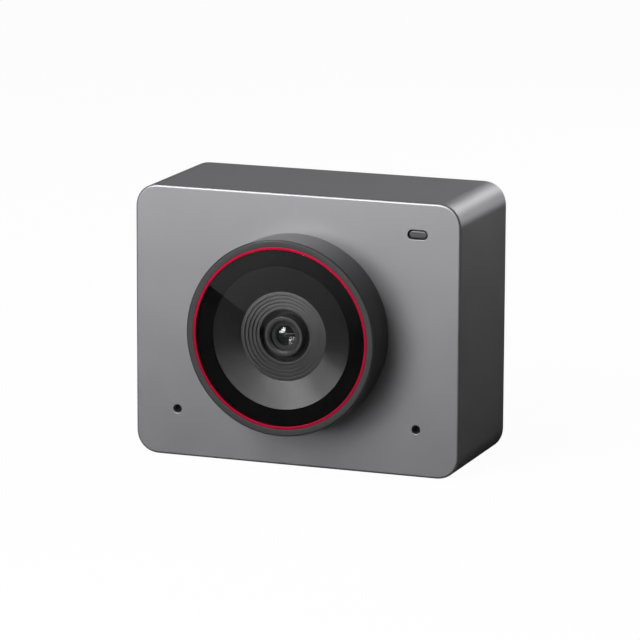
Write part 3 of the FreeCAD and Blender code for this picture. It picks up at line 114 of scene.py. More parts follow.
# Bezel, window and baffle, as radii and depths behind the rim's plane
BEZEL_DRAFT = 0.22
BEZEL_BEVEL = 0.25
BEZEL_EDGE = 0.08
BEZEL_RIM_WIDTH = 1.25
BEZEL_LEDGE_DEPTH = 0.8
BEZEL_BORE_RADIUS = 13.0
BEZEL_THROAT_RADIUS = 12.1
BEZEL_THROAT_DEPTH = 5.0
BEZEL_SPIGOT_RADIUS = 13.8
ACCENT_WIDTH = 0.5
ACCENT_GAP = 0.02
TRIM_EDGE = 0.04
MASK_GAP = 0.005
WINDOW_EDGE = 0.012
CONE_RADIUS = 12.55
CONE_DEPTH = 0.75
RING_ZONE_RADIUS = 7.85
RING_ZONE_DEPTH = 2.1
RING_COUNT = 5
RING_LIFT = 0.12
RING_CROWN = 0.03
RING_CROWN_STEPS = 6
BAFFLE_HOLE_RADIUS = 4.65
BAFFLE_HOLE_DEPTH = 2.56
BAFFLE_HOLE_BEVEL = 0.12
BAFFLE_THICKNESS = 0.9
BAFFLE_SKIRT = 0.8

# Lens
NOSE_RADIUS = 3.5
NOSE_WALL = 0.55
NOSE_EDGE = 0.15
CLEAR_RADIUS = 2.5
LENS_MOUTH_RADIUS = 2.6
OPENING_RADIUS = 1.75
RETAINER_LIP = 0.05
RETAINER_CHAMFER_WIDTH = 0.33
RETAINER_CHAMFER_DEPTH = 0.25
RETAINER_FLOOR_DEPTH = 0.85
RETAINER_STEP = 0.1
RETAINER_STEP_COUNT = 2
RETAINER_STEP_EDGE = 0.02
ELEMENT_STEPS = 24
FRONT_DOME = 0.37
BACK_DOME = 0.33

# Tripod socket: 1/4 inch, 20 threads per inch
THREAD_PITCH = 1.27
THREAD_MAJOR_RADIUS = 3.175
THREAD_MINOR_RADIUS = 2.55
THREAD_FLAT = 0.125
THREAD_LEAD_IN = 0.7
THREAD_ROWS_PER_TURN = 14
INSERT_STEPS = 96
INSERT_RADIUS = 4.0
INSERT_FLANGE_THICKNESS = 0.6
INSERT_FIT = 0.02

# Cable inlet
INLET_WALL = 0.3
INLET_EDGE = 0.1
TONGUE_WIDTH = 6.6
TONGUE_THICKNESS = 0.7
TONGUE_EDGE = 0.12
TONGUE_FOOT_LENGTH = 3.0

# Screws
SCREW_RADIUS = 0.8
SMALL_SCREW_RADIUS = 0.6
SCREW_HEAD_RADIUS = 1.4
SCREW_HEAD_HEIGHT = 0.9
SCREW_HEAD_EDGE = 0.25
SCREW_DRIVE_SPAN = 0.9
SCREW_DRIVE_WIDTH = 0.32
SCREW_DRIVE_DEPTH = 0.5
SCREW_LENGTH = 5.8
BEZEL_SCREW_DEPTH = 3.4

# Leaf springs of the autofocus drive
SPRING_FRAME_WALL = 0.9
SPRING_RING_OUTER = 5.35
SPRING_RING_INNER = 4.735
SPRING_ARM_WIDTH = 0.35
SPRING_ARM_CUTS = 16
SPRING_STEPS = 96

# The wave texture has this many radians to its own unit
WAVE_NODE_RADIANS = 20

# Camera, fitted to the photograph's 640 by 640 pixels
PICTURE_PIXELS = 640
FOCAL_PIXELS = 4366.76
SENSOR_WIDTH = 36.0
CAMERA_AZIMUTH = 20.474
CAMERA_ELEVATION = 11.845
CAMERA_ROLL = 0.236
CAMERA_DISTANCE = 768.85
CAMERA_CLIP = 10.0
CAMERA_ACROSS = -0.176
CAMERA_UP = -0.472

# Kinds of softbox, as distance, width and height
KEY_BOX = (450, 105, 105)
FILL_BOX = (240, 110, 110)
BROAD_BOX = (600, 300, 300)
FAR_BOX = (700, 220, 220)
REAR_BOX = (420, 160, 100)
REAR_STRIP_BOX = (420, 160, 60)

# Softboxes as azimuth and elevation in degrees, power in watts, and kind
SOFTBOXES = {
    "key_low": (-44, -2, 0.1, KEY_BOX),
    "key_middle": (-36, 6, 0.08, KEY_BOX),
    "key_side": (-28, 6, 0.06, KEY_BOX),
    "key_high": (-28, 14, 0.14, KEY_BOX),
    "fill": (-8, 10, 0.06, FILL_BOX),
    "fill_high": (8, 28, 0.045, FILL_BOX),
    "fill_wide": (-20, 10, 0.35, BROAD_BOX),
    "main": (-20, 35, 2.75, BROAD_BOX),
    "top": (0, 60, 0.32, BROAD_BOX),
    "top_left": (-62, 58, 0.842, FAR_BOX),
    "rear_low": (140, 9, 0.12, REAR_BOX),
    "rear_high": (140, 26, 0.26, REAR_BOX),
    "rear_middle": (165, 26, 0.12, REAR_BOX),
    "rear_strip": (178, 17, 0.095, REAR_STRIP_BOX),
    "rear_left": (202, 26, 0.036, REAR_BOX),
}
WORLD_GREY = 0.01

# The floor, and cards just over it that only reflections show: a dark one, and one that glows though it is
# no lamp and paints a reflection into the window
FLOOR_SIZE = 6000.0
FLOOR_Z = -0.05
FLOOR_GREY = 0.85
FLOOR_WHITE = 0.97
DARK_CARD_SIZE = 1400.0
DARK_CARD_Z = -0.03
DARK_CARD_GREY = 0.02
WINDOW_CARD_Z = -0.015
CARD_EDGE_FAR = (-73.8, -171.2)
CARD_EDGE_NEAR = (-56.8, -148.0)
CARD_PAST_NEAR = 55.0
CARD_LENGTH = 150.0
CARD_WIDTH = 80.0
CARD_FADE_ALONG = 167.0
CARD_FADE_AWAY = 105.0
CARD_NEAR_GLOW = 0.33
CARD_GLOW = 0.5


# Places that follow from the frame

def corners(node):
    """A node's lowest and highest corner, in millimetres."""
    low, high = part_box(node)
    return low / MM, high / MM


def middle(node):
    low, high = corners(node)
    return (low + high) / 2


def half_width(node):
    low, high = corners(node)
    return (high.x - low.x) / 2


BODY_LOW, BODY_HIGH = corners("front_housing")
BODY_CENTRE = middle("front_housing")
BODY_WIDTH = BODY_HIGH.x - BODY_LOW.x
BODY_HEIGHT = BODY_HIGH.z - BODY_LOW.z
FACE_Y = BODY_LOW.y
REAR_Y = BODY_HIGH.y
FACE_INNER_Y = FACE_Y + WALL
COVER_INNER_Y = REAR_Y - WALL
RIM_Y = corners("lens_bezel")[0].y
LENS_Z = middle("actuator_can").z
RIM_RADIUS = half_width("lens_bezel")
ACCENT_RADIUS = RIM_RADIUS - BEZEL_RIM_WIDTH
GLASS_RADIUS = half_width("cover_glass")


def solid_centres(node):
    """The middle of each separate solid in a node, as (x, z) in millimetres."""
    mesh = bmesh.new()
    mesh.from_mesh(frame["nodes"][node].data)
    bmesh.ops.remove_doubles(mesh, verts=mesh.verts, dist=NODE_WELD * MM)
    left = set(mesh.verts)
    centres = []
    while left:
        found = [left.pop()]
        for vertex in found:
            near = {edge.other_vert(vertex) for edge in vertex.link_edges} & left
            left -= near
            found.extend(near)
        x = [vertex.co.x / MM for vertex in found]
        z = [vertex.co.z / MM for vertex in found]
        centres.append(((min(x) + max(x)) / 2, (min(z) + max(z)) / 2))
    mesh.free()
    return sorted(centres)


# Forms: lists of points in millimetres, and of faces that name them

def eased(edge, face_y, inward):
    """A rounded edge from a face to the side next to it, as (inset, y)."""
    turns = [math.pi / 2 * step / EDGE_STEPS for step in range(EDGE_STEPS + 1)]
    return [(edge * (1 - math.sin(t)), face_y + inward * edge * (1 - math.cos(t))) for t in turns]


def softened(low_y, high_y, low_edge=0.0, high_edge=0.0):
    """The side of a slab or rod along Y with its edges rounded, as (inset, y)."""
    low = eased(low_edge, low_y, 1) if low_edge else [(0, low_y)]
    high = eased(high_edge, high_y, -1) if high_edge else [(0, high_y)]
    return low + high[::-1]


def flared(mouth_y, far_y, edge):
    """The side of a hole cutter that leaves a rounded edge round the hole's mouth."""
    inward = math.copysign(1, far_y - mouth_y)
    mouth = [(-inset, y) for inset, y in eased(edge, mouth_y, inward)]
    return [(-edge, mouth_y - inward * PAST)] + mouth + [(0, far_y)]


def rounded(outline):
    """A closed outline whose corners are (u, v), or (u, v, radius) for one that is rounded."""
    points = []
    for i, corner in enumerate(outline):
        here = Vector(corner[:2])
        if len(corner) == 2:
            points.append(here)
            continue
        radius = corner[2]
        before = (Vector(outline[i - 1][:2]) - here).normalized()
        after = (Vector(outline[(i + 1) % len(outline)][:2]) - here).normalized()
        half_angle = before.angle(after) / 2
        centre = here + (before + after).normalized() * radius / math.sin(half_angle)
        start = here + before * radius / math.tan(half_angle) - centre
        end = here + after * radius / math.tan(half_angle) - centre
        for step in range(EDGE_STEPS + 1):
            points.append(centre + start.lerp(end, step / EDGE_STEPS).normalized() * radius)
    return [tuple(point) for point in points]


def behind_rim(outline):
    """Turns depths behind the rim's plane into places along Y."""
    return [(corner[0], RIM_Y + corner[1], *corner[2:]) for corner in outline]


def strips(rows):
    """Faces between neighbouring rows of points. A row of one point is the end of a cone."""
    faces = []
    steps = max(len(row) for row in rows)
    for row, following in zip(rows, rows[1:]):
        for i in range(steps):
            j = (i + 1) % steps
            face = [row[i % len(row)], row[j % len(row)]]
            face += [following[j % len(following)], following[i % len(following)]]
            face = list(dict.fromkeys(face))
            if len(face) > 2:
                faces.append(face)
    return faces


def skinned(rows, closed=False):
    """A form over rows of points. Its last row joins its first if closed, or else both are end faces."""
    points = []
    numbers = []
    for row in rows:
        numbers.append(list(range(len(points), len(points) + len(row))))
        points += row
    if closed:
        return points, strips(numbers + numbers[:1])
    return points, strips(numbers) + [numbers[0], numbers[-1][::-1]]


def turned(outline, x=0.0, z=LENS_Z, steps=RING_STEPS, upright=False):
    """A closed outline of (radius, level) turned about a line along Y, or about an upright one."""
    rows = []
    for radius, level in outline:
        row = []
        for i in range(steps if radius > 0 else 1):
            turn = math.tau * i / steps
            first = radius * math.cos(turn)
            second = radius * math.sin(turn)
            row.append((x + first, z + second, level) if upright else (x + first, level, z + second))
        rows.append(row)
    return skinned(rows, closed=True)


def rod(radius, side, x=0.0, z=LENS_Z, steps=HOLE_STEPS, upright=False):
    outline = [(0, side[0][1])] + [(radius - inset, level) for inset, level in side] + [(0, side[-1][1])]
    return turned(outline, x, z, steps, upright)


def rods_at(node, radius, side):
    """A rod along Y at each separate solid of a node."""
    return [rod(radius, side, x, z) for x, z in solid_centres(node)]


def slab(width, height, corner, side, x=0.0, z=BODY_CENTRE.z, power=2.0):
    """A rounded rectangle along Y. A power of 2 gives round corners, more eases them into the sides."""
    rows = []
    quadrants = ((1, 1), (-1, 1), (-1, -1), (1, -1))
    for inset, y in side:
        row = []
        for i, (side_x, side_z) in enumerate(quadrants):
            for step in range(CORNER_STEPS + 1):
                turn = math.pi / 2 * (i + step / CORNER_STEPS)
                reach_x = (corner - inset) * abs(math.cos(turn)) ** (2 / power)
                reach_z = (corner - inset) * abs(math.sin(turn)) ** (2 / power)
                point_x = x + side_x * (width / 2 - corner + reach_x)
                point_z = z + side_z * (height / 2 - corner + reach_z)
                row.append((point_x, y, point_z))
        rows.append(row)
    return skinned(rows)


def stadium(length, height, side, x, z):
    """A slab with half-round ends."""
    return slab(length, height, height / 2, side, x, z)


def stadium_of(node, margin, side):
    """A stadium as wide and high as a node, grown by a margin."""
    low, high = corners(node)
    size = high - low
    place = middle(node)
    return stadium(size.x + 2 * margin, size.z + 2 * margin, side, place.x, place.z)


def block(x_range, y_range, z_range):
    points = [(x, y, z) for x in x_range for y in y_range for z in z_range]
    faces = [(0, 1, 3, 2), (4, 6, 7, 5), (0, 4, 5, 1), (2, 3, 7, 6), (0, 2, 6, 4), (1, 5, 7, 3)]
    return points, faces


def together(forms):
    points = []
    faces = []
    for form_points, form_faces in forms:
        start = len(points)
        points.extend(form_points)
        faces.extend([[start + i for i in face] for face in form_faces])
    return points, faces


# Pieces

def added(name, data):
    item = bpy.data.objects.new(name, data)
    bpy.context.scene.collection.objects.link(item)
    return item


def made(name, form):
    """A mesh object from a closed form, its normals outward."""
    mesh = bmesh.new()
    points = [mesh.verts.new(Vector(point) * MM) for point in form[0]]
    for face in form[1]:
        mesh.faces.new([points[i] for i in face])
    bmesh.ops.remove_doubles(mesh, verts=mesh.verts, dist=PIECE_WELD * MM)
    bmesh.ops.recalc_face_normals(mesh, faces=mesh.faces)
    data = bpy.data.meshes.new(name)
    mesh.to_mesh(data)
    mesh.free()
    return added(name, data)


def combined(piece, forms, operation="DIFFERENCE"):
    """Cuts forms out of a piece, or joins them on."""
    tool = made("tool", together(forms))
    modifier = piece.modifiers.new("combined", "BOOLEAN")
    modifier.object = tool
    modifier.operation = operation
    modifier.solver = "EXACT"
    modifier.use_self = True
    graph = bpy.context.evaluated_depsgraph_get()
    result = bpy.data.meshes.new_from_object(piece.evaluated_get(graph))
    piece.modifiers.clear()
    piece.data = result
    bpy.data.objects.remove(tool)


def shaded(piece, slot):
    """Gives a piece its slot's finish, smooth where it is round and flat where it is flat."""
    piece.data.shade_smooth()
    piece.data.set_sharp_from_angle(angle=math.radians(PIECE_SHARP_ANGLE))
    piece.modifiers.new("flat_faces", "WEIGHTED_NORMAL").keep_sharp = True
    piece.data.materials.clear()
    piece.data.materials.append(FINISHES[slot])


def placed(piece, slot, nodes, body="housing"):
    """Finishes a piece, lets it stand for its nodes and move with their body."""
    shaded(piece, slot)
    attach(piece, body)
    if nodes:
        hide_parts(*nodes)


# Finishes: one procedural material for each slot of the record

FINISHES = {}


def grey(level):
    return level, level, level


class Graph:
    """A tree of nodes that are made and joined in one step."""

    def __init__(self, tree):
        self.tree = tree

    def set(self, node, socket, value):
        if isinstance(value, bpy.types.NodeSocket):
            self.tree.links.new(value, node.inputs[socket])
        else:
            node.inputs[socket].default_value = value

    def node(self, kind, inputs=None, **options):
        node = self.tree.nodes.new(kind)
        for option, value in options.items():
            setattr(node, option, value)
        for socket, value in (inputs or {}).items():
            self.set(node, socket, value)
        return node

    def output(self, kind, inputs=None, output=0, **options):
        """An output of a new node."""
        return self.node(kind, inputs, **options).outputs[output]


class Finish(Graph):
    """A material made of noise, rings and bands in the object's own coordinates, in real sizes."""

    def __init__(self, name):
        self.material = bpy.data.materials.new(name)
        self.material.use_nodes = True
        super().__init__(self.material.node_tree)
        self.shader = self.tree.nodes["Principled BSDF"]
        self.place = self.output("ShaderNodeTexCoord", output="Object")

    def put(self, socket, value):
        """Sets an input of the main shader."""
        self.set(self.shader, socket, value)

    def surface(self, shader):
        """Shows a shader in place of the main one."""
        self.set(self.tree.nodes["Material Output"], "Surface", shader)

    def mixed(self, share, first, second):
        return self.output("ShaderNodeMixShader", {0: share, 1: first, 2: second})

    def arithmetic(self, operation, first, second, clamped=False):
        return self.output("ShaderNodeMath", {0: first, 1: second}, operation=operation, use_clamp=clamped)

    def noise(self, size, detail=2.0, stretch=(1, 1, 1)):
        """Noise with blotches about a size across, shortened by a factor along each axis."""
        place = self.output("ShaderNodeMapping", {"Vector": self.place, "Scale": stretch})
        inputs = {"Vector": place, "Scale": 1 / (size * MM), "Detail": detail}
        return self.output("ShaderNodeTexNoise", inputs)

    def waves(self, place, pitch, **options):
        """Waves with their crests a pitch apart."""
        inputs = {"Vector": place, "Scale": math.tau / (WAVE_NODE_RADIANS * pitch * MM)}
        return self.output("ShaderNodeTexWave", inputs, 1, **options)

    def bands(self, pitch, axis):
        return self.waves(self.place, pitch, bands_direction=axis)

    def from_axis(self):
        """Places as seen along the lens axis, measured from it."""
        inputs = {"Vector": self.place, "Location": (0, 0, -LENS_Z * MM), "Scale": (1, 0, 1)}
        return self.output("ShaderNodeMapping", inputs)

    def rings(self, pitch):
        """Turning marks about the lens axis."""
        return self.waves(self.from_axis(), pitch, wave_type="RINGS", rings_direction="Y")

    def cells(self, size, **options):
        """Uneven cells about a size across."""
        inputs = {"Vector": self.place, "Scale": 1 / (size * MM)}
        return self.output("ShaderNodeTexVoronoi", inputs, **options)

    def ranged(self, value, low, high, start=0.3, end=0.7):
        inputs = {"Value": value, "From Min": start, "From Max": end, "To Min": low, "To Max": high}
        return self.output("ShaderNodeMapRange", inputs)

    def sum(self, first, second, share=0.5):
        """Adds a share of one value to another."""
        return self.arithmetic("ADD", first, self.arithmetic("MULTIPLY", second, share))

    def layered(self, slow, fine):
        """Slow noise with half as much fine noise, brought back to the range of one noise."""
        return self.ranged(self.sum(slow, fine), 0.3, 0.7, 0.45, 1.05)

    def blended(self, value, dark, light, start=0.3, end=0.7):
        ramp = self.node("ShaderNodeValToRGB", {"Fac": value})
        for element, position, colour in zip(ramp.color_ramp.elements, (start, end), (dark, light)):
            element.position = position
            element.color = (*colour, 1)
        return ramp.outputs["Color"]

    def colour(self, value, colour, spread):
        """Colours the surface a little darker and lighter than a colour."""
        dark = [part * (1 - spread) for part in colour]
        light = [part * (1 + spread) for part in colour]
        self.put("Base Color", self.blended(value, dark, light))

    def roughness(self, value, middle, spread):
        self.put("Roughness", self.ranged(value, middle - spread, middle + spread))

    def relief(self, height, depth):
        """Raises the surface by up to a depth in millimetres, for light only."""
        self.put("Normal", self.output("ShaderNodeBump", {"Height": height, "Distance": depth * MM}))

    def patterned(self, value, colour, spread, roughness, unevenness, depth=0):
        """Lets one value drive the colour, the gloss and, where it has a depth, the relief."""
        self.colour(value, colour, spread)
        self.roughness(value, roughness, unevenness)
        if depth:
            self.relief(value, depth)

    def zoned(self, radius, pattern, greys, roughness):
        """Past a radius of the lens axis the first grey and roughness, and within it the second."""
        distance = self.output("ShaderNodeVectorMath", {0: self.from_axis()}, "Value", operation="LENGTH")
        tone = self.sum(self.arithmetic("LESS_THAN", distance, radius * MM), pattern, 0.1)
        self.put("Base Color", self.blended(tone, grey(greys[0]), grey(greys[1]), 0, 1))
        self.put("Roughness", self.ranged(tone, *roughness, 0, 1))
        self.relief(pattern, 0.0005)

    def grained(self, colour, roughness, grain=0.2, depth=0.002, spread=0.06):
        """A moulded or coated surface: fine grain, and slow changes in colour and gloss."""
        fine = self.noise(grain)
        slow = self.noise(40 * grain)
        self.colour(self.layered(slow, fine), colour, spread)
        self.roughness(slow, roughness, 0.015)
        self.relief(fine, depth)

    def drawn(self, colour, roughness, stretch=(1, 12, 12), grain=1.0):
        """Bare metal with the lines that rolling, drawing or plating leaves along one axis."""
        self.put("Metallic", 1.0)
        self.patterned(self.noise(grain, 4.0, stretch), colour, 0.1, roughness, 0.06, 0.001)

    def see_through(self, tint, ior, gloss, inner=0.0):
        """Clear glass: it passes light, tinted, and reflects outside, and by a share on its inner side."""
        self.tree.nodes.remove(self.shader)
        smears = self.ranged(self.noise(4.0, 3.0), gloss * 0.7, gloss * 1.3)
        coating = self.blended(self.noise(9.0), (0.94, 0.95, 1.0), (1.0, 1.0, 0.98))
        clear = self.output("ShaderNodeBsdfTransparent", {"Color": (*tint, 1)})
        mirror = self.output("ShaderNodeBsdfAnisotropic", {"Color": coating, "Roughness": smears})
        outer = self.output("ShaderNodeFresnel", {"IOR": ior})
        inside = self.output("ShaderNodeNewGeometry", output="Backfacing")
        share = self.output("ShaderNodeMix", {"Factor": inside, "A": outer, "B": inner})
        self.surface(self.mixed(share, clear, mirror))


def for_slot(make):
    """Makes the finish of the slot that a function is named after."""
    finish = Finish(make.__name__)
    make(finish)
    FINISHES[make.__name__] = finish.material
    return make


@for_slot
def body_paint(finish):
    """Satin grey coating on cast metal."""
    finish.put("Metallic", 0.85)
    finish.grained((0.29, 0.287, 0.3), 0.42, grain=0.18, depth=0.0008, spread=0.02)


@for_slot
def cover_plastic(finish):
    finish.grained((0.06, 0.06, 0.062), 0.5, grain=0.22, depth=0.006, spread=0.1)


@for_slot
def bezel_paint(finish):
    """Satin near-black coating over a turned ring."""
    finish.put("Metallic", 0.3)
    finish.grained((0.035, 0.035, 0.036), 0.38, grain=0.16, depth=0.0012)


@for_slot
def accent_red(finish):
    """Turned aluminium, anodised with a deep crimson dye."""
    finish.put("Metallic", 0.8)
    marks = finish.rings(0.08)
    finish.colour(finish.ranged(marks, 0.35, 0.65, 0, 1), (0.4, 0.002, 0.032), 0.08)
    finish.roughness(finish.noise(3.0), 0.4, 0.03)
    finish.relief(marks, 0.0002)


@for_slot
def window_glass(finish):
    finish.see_through(grey(0.93), 1.52, 0.01)


@for_slot
def mask_ink(finish):
    """Ink printed on the inside of the window. The glass in front of it has all the gloss."""
    finish.put("Specular IOR Level", 0.0)
    finish.patterned(finish.noise(3.0), (0.004, 0.004, 0.0042), 0.15, 0.8, 0.05)


@for_slot
def adhesive(finish):
    finish.grained(grey(0.05), 0.6, grain=0.3, depth=0.003, spread=0.15)


@for_slot
def baffle_black(finish):
    """A glossy moulded cone whose ringed floor is matt."""
    finish.put("Specular IOR Level", 0.6)
    finish.zoned(RING_ZONE_RADIUS, finish.noise(3.0), (0.012, 0.042), (0.22, 0.5))


@for_slot
def foam_black(finish):
    holes = finish.cells(0.25, feature="DISTANCE_TO_EDGE")
    finish.patterned(holes, grey(0.015), 0.6, 0.95, 0.05, 0.05)


@for_slot
def lens_black(finish):
    """Black anodised metal, blacker and more matt in the sunk ring round the front glass."""
    finish.put("Specular IOR Level", 0.7)
    finish.zoned(LENS_MOUTH_RADIUS, finish.rings(0.2), (0.032, 0.008), (0.4, 0.6))


@for_slot
def lens_glass(finish):
    """Coated glass. Its high index stands in for the reflections of the elements behind it."""
    finish.see_through((0.65, 0.66, 0.68), 3.2, 0.02, 0.4)


@for_slot
def filter_glass(finish):
    finish.see_through((0.5, 0.75, 0.7), 1.52, 0.03)


@for_slot
def spring_bronze(finish):
    finish.drawn((0.6, 0.4, 0.2), 0.3)


@for_slot
def coil_copper(finish):
    """Enamelled wire, wound about the lens axis."""
    finish.put("Metallic", 1.0)
    finish.put("Coat Weight", 0.5)
    finish.patterned(finish.bands(0.09, "Y"), (0.7, 0.3, 0.12), 0.25, 0.3, 0.08, 0.02)


@for_slot
def magnet_nickel(finish):
    finish.drawn((0.6, 0.58, 0.54), 0.25, (1, 1, 1), 0.4)


@for_slot
def drive_steel(finish):
    finish.drawn(grey(0.5), 0.32, (1, 14, 14))


@for_slot
def can_steel(finish):
    """Pressed steel with a black coating, so that it throws no light back through the baffle."""
    finish.grained(grey(0.015), 0.5, grain=0.12, spread=0.1)


@for_slot
def drive_plastic(finish):
    finish.grained(grey(0.03), 0.45)


@for_slot
def sensor_ceramic(finish):
    """A dark glassy die with its fine grid of cells."""
    finish.put("Coat Weight", 0.6)
    inputs = {"Vector": finish.place, "Scale": 1 / (0.12 * MM)}
    finish.colour(finish.output("ShaderNodeTexChecker", inputs, 1), (0.1, 0.1, 0.11), 0.15)
    finish.roughness(finish.noise(0.5), 0.25, 0.05)


@for_slot
def board_green(finish):
    """Solder mask over copper tracks, with the weave of the board faintly below."""
    finish.put("Coat Weight", 0.3)
    tracks = finish.ranged(finish.cells(2.4, distance="MANHATTAN"), 0, 1, 0.42, 0.46)
    weave = finish.noise(0.3, 1.0, (1, 1, 6))
    tone = finish.sum(tracks, weave, 0.3)
    finish.put("Base Color", finish.blended(tone, (0.012, 0.085, 0.035), (0.03, 0.17, 0.07), 0.1, 1))
    finish.roughness(weave, 0.38, 0.05)
    finish.relief(tracks, 0.02)


@for_slot
def flex_amber(finish):
    """Polyimide film with rows of copper tracks along it."""
    finish.put("Coat Weight", 0.2)
    tracks = finish.bands(0.5, "X")
    finish.put("Base Color", finish.blended(tracks, (0.34, 0.14, 0.02), (0.52, 0.26, 0.05)))
    finish.roughness(finish.noise(1.0), 0.35, 0.06)
    finish.relief(tracks, 0.012)


@for_slot
def chip_black(finish):
    finish.grained((0.03, 0.03, 0.032), 0.55, grain=0.08, depth=0.004, spread=0.2)


@for_slot
def connector_cream(finish):
    finish.grained((0.65, 0.6, 0.5), 0.45, grain=0.3, spread=0.04)


@for_slot
def passive_ceramic(finish):
    """Tan ceramic, mottled."""
    finish.grained((0.35, 0.25, 0.15), 0.4, grain=0.12, depth=0.003, spread=0.25)


@for_slot
def pad_grey(finish):
    """Soft silicone filled with powder."""
    finish.put("Sheen Weight", 0.15)
    finish.grained((0.3, 0.33, 0.4), 0.75, grain=0.25, depth=0.01, spread=0.12)


@for_slot
def sink_aluminium(finish):
    """Clear anodised extrusion with lines along its fins."""
    finish.drawn((0.35, 0.35, 0.36), 0.4, (1, 14, 14))


@for_slot
def bracket_aluminium(finish):
    finish.drawn((0.5, 0.5, 0.51), 0.38, (14, 14, 1))


@for_slot
def gasket_rubber(finish):
    finish.grained(grey(0.02), 0.8, grain=0.15, depth=0.006, spread=0.2)


@for_slot
def mesh_black(finish):
    """A woven screen, drawn as crossed wires."""
    wires = finish.sum(finish.bands(0.14, "X"), finish.bands(0.14, "Z"), 1.0)
    finish.put("Base Color", finish.blended(wires, grey(0.004), grey(0.03), 0.6, 1))
    finish.roughness(wires, 0.6, 0.1)
    finish.relief(wires, 0.03)


@for_slot
def indicator_lens(finish):
    """A cloudy grey light pipe."""
    finish.put("Coat Weight", 0.5)
    finish.put("Coat Roughness", 0.2)
    finish.patterned(finish.noise(0.8), (0.045, 0.045, 0.047), 0.12, 0.35, 0.06, 0.002)


@for_slot
def led_body(finish):
    finish.put("Subsurface Weight", 0.1)
    finish.patterned(finish.noise(0.6), (0.8, 0.8, 0.7), 0.06, 0.4, 0.08)


@for_slot
def inlet_steel(finish):
    finish.drawn((0.55, 0.55, 0.56), 0.26, (10, 1, 10), 0.8)


@for_slot
def inlet_black(finish):
    finish.grained((0.02, 0.02, 0.021), 0.42, grain=0.15, depth=0.003, spread=0.12)


@for_slot
def contact_gold(finish):
    finish.drawn((0.8, 0.6, 0.25), 0.22, (8, 1, 8), 0.4)


@for_slot
def insert_brass(finish):
    """Turned brass, dulled a little in patches."""
    finish.put("Metallic", 1.0)
    lines = finish.noise(1.2, 3.0, (1, 1, 14))
    dull = finish.noise(2.5)
    finish.colour(finish.layered(dull, lines), (0.7, 0.5, 0.22), 0.14)
    finish.roughness(dull, 0.3, 0.08)
    finish.relief(lines, 0.004)


@for_slot
def screw_steel(finish):
    """Black-oxide steel."""
    finish.put("Metallic", 0.8)
    finish.patterned(finish.noise(0.5, 3.0), (0.1, 0.1, 0.105), 0.2, 0.35, 0.08, 0.003)


# Housing and rear cover

def housing_body():
    side = softened(FACE_Y, REAR_Y, FRONT_EDGE, REAR_EDGE)
    piece = made("housing_body", slab(BODY_WIDTH, BODY_HEIGHT, EASED_CORNER, side, power=EASED_POWER))
    for margin, start in ((WALL, FACE_INNER_Y), (COVER_RIM, COVER_INNER_Y)):
        combined(piece, [inner_slab(margin, [(0, start), (0, REAR_Y + PAST)])])
    combined(piece, housing_bosses(), "UNION")
    combined(piece, housing_holes())
    placed(piece, "body_paint", ["front_housing"])


def inner_slab(margin, side):
    """A slab a margin inside the body's outline."""
    return slab(BODY_WIDTH - 2 * margin, BODY_HEIGHT - 2 * margin, BODY_CORNER - margin, side)


def boss_kinds():
    """Kinds of boss: screws, level they rise to, radius, and the hole's radius and depth."""
    large = (BOSS_RADIUS, SCREW_RADIUS, BOSS_HOLE_DEPTH)
    small = (SMALL_BOSS_RADIUS, SMALL_SCREW_RADIUS, SMALL_BOSS_HOLE_DEPTH)
    return (
        ("main_board_screws", corners("main_board")[0].y, large),
        ("bracket_screws", corners("camera_bracket")[0].y, large),
        ("front_board_screws", corners("front_board")[0].y, small),
    )


def housing_bosses():
    start = FACE_INNER_Y - POST_BITE
    half = (POST_SIZE + POST_BITE) / 2
    forms = []
    for screw_x, screw_z in solid_centres("cover_screws"):
        x = screw_x + math.copysign(POST_BITE / 2, screw_x)
        z = screw_z + math.copysign(POST_BITE / 2, screw_z - BODY_CENTRE.z)
        forms.append(block((x - half, x + half), (start, COVER_INNER_Y), (z - half, z + half)))
    for screws, level, (radius, _, _) in boss_kinds():
        forms += rods_at(screws, radius, [(0, start), (0, level)])
    side = [(0, POST_BITE), (0, SOCKET_BOSS_TOP)]
    forms.append(rod(SOCKET_BOSS_RADIUS, side, 0, 0, upright=True))
    return forms


def housing_holes():
    end = FACE_INNER_Y + PAST
    through = [(0, FACE_Y - PAST), (0, end)]
    forms = [rod(BEZEL_SPIGOT_RADIUS + COVER_GAP, through, steps=RING_STEPS)]
    forms += rods_at("mic_meshes", MIC_HOLE_RADIUS, flared(FACE_Y, end, MIC_HOLE_EDGE))
    forms.append(indicator_form(INDICATOR_GAP, flared(FACE_Y, end, INDICATOR_MOUTH_EDGE)))
    for screws, level, (_, radius, depth) in boss_kinds():
        forms += rods_at(screws, radius, [(0, level - depth), (0, level + PAST)])
    side = [(0, COVER_INNER_Y - SCREW_LENGTH), (0, COVER_INNER_Y + PAST)]
    forms += rods_at("cover_screws", SCREW_RADIUS, side)
    forms += rods_at("bezel_screws", SMALL_SCREW_RADIUS, through)
    forms.append(turned(insert_outline(INSERT_FIT, -PAST), 0, 0, INSERT_STEPS, upright=True))
    return forms


def indicator_form(margin, side):
    place = middle("indicator_window")
    length = INDICATOR_LENGTH + 2 * margin
    return stadium(length, INDICATOR_HEIGHT + 2 * margin, side, place.x, place.z)


def insert_outline(gap, bottom):
    """The tripod insert's outer side as (radius, height), grown by a gap."""
    top = corners("tripod_insert")[1].z
    flange = half_width("tripod_insert") + gap
    step = INSERT_FLANGE_THICKNESS + gap
    stem = INSERT_RADIUS + gap
    return [(0, bottom), (flange, bottom), (flange, step), (stem, step), (stem, top), (0, top)]


def cover_panel():
    side = softened(COVER_INNER_Y, REAR_Y, 0, COVER_EDGE)
    piece = made("cover_panel", inner_slab(COVER_RIM + COVER_GAP, side))
    combined(piece, cover_lips(), "UNION")
    combined(piece, cover_openings())
    placed(piece, "cover_plastic", ["rear_cover"])


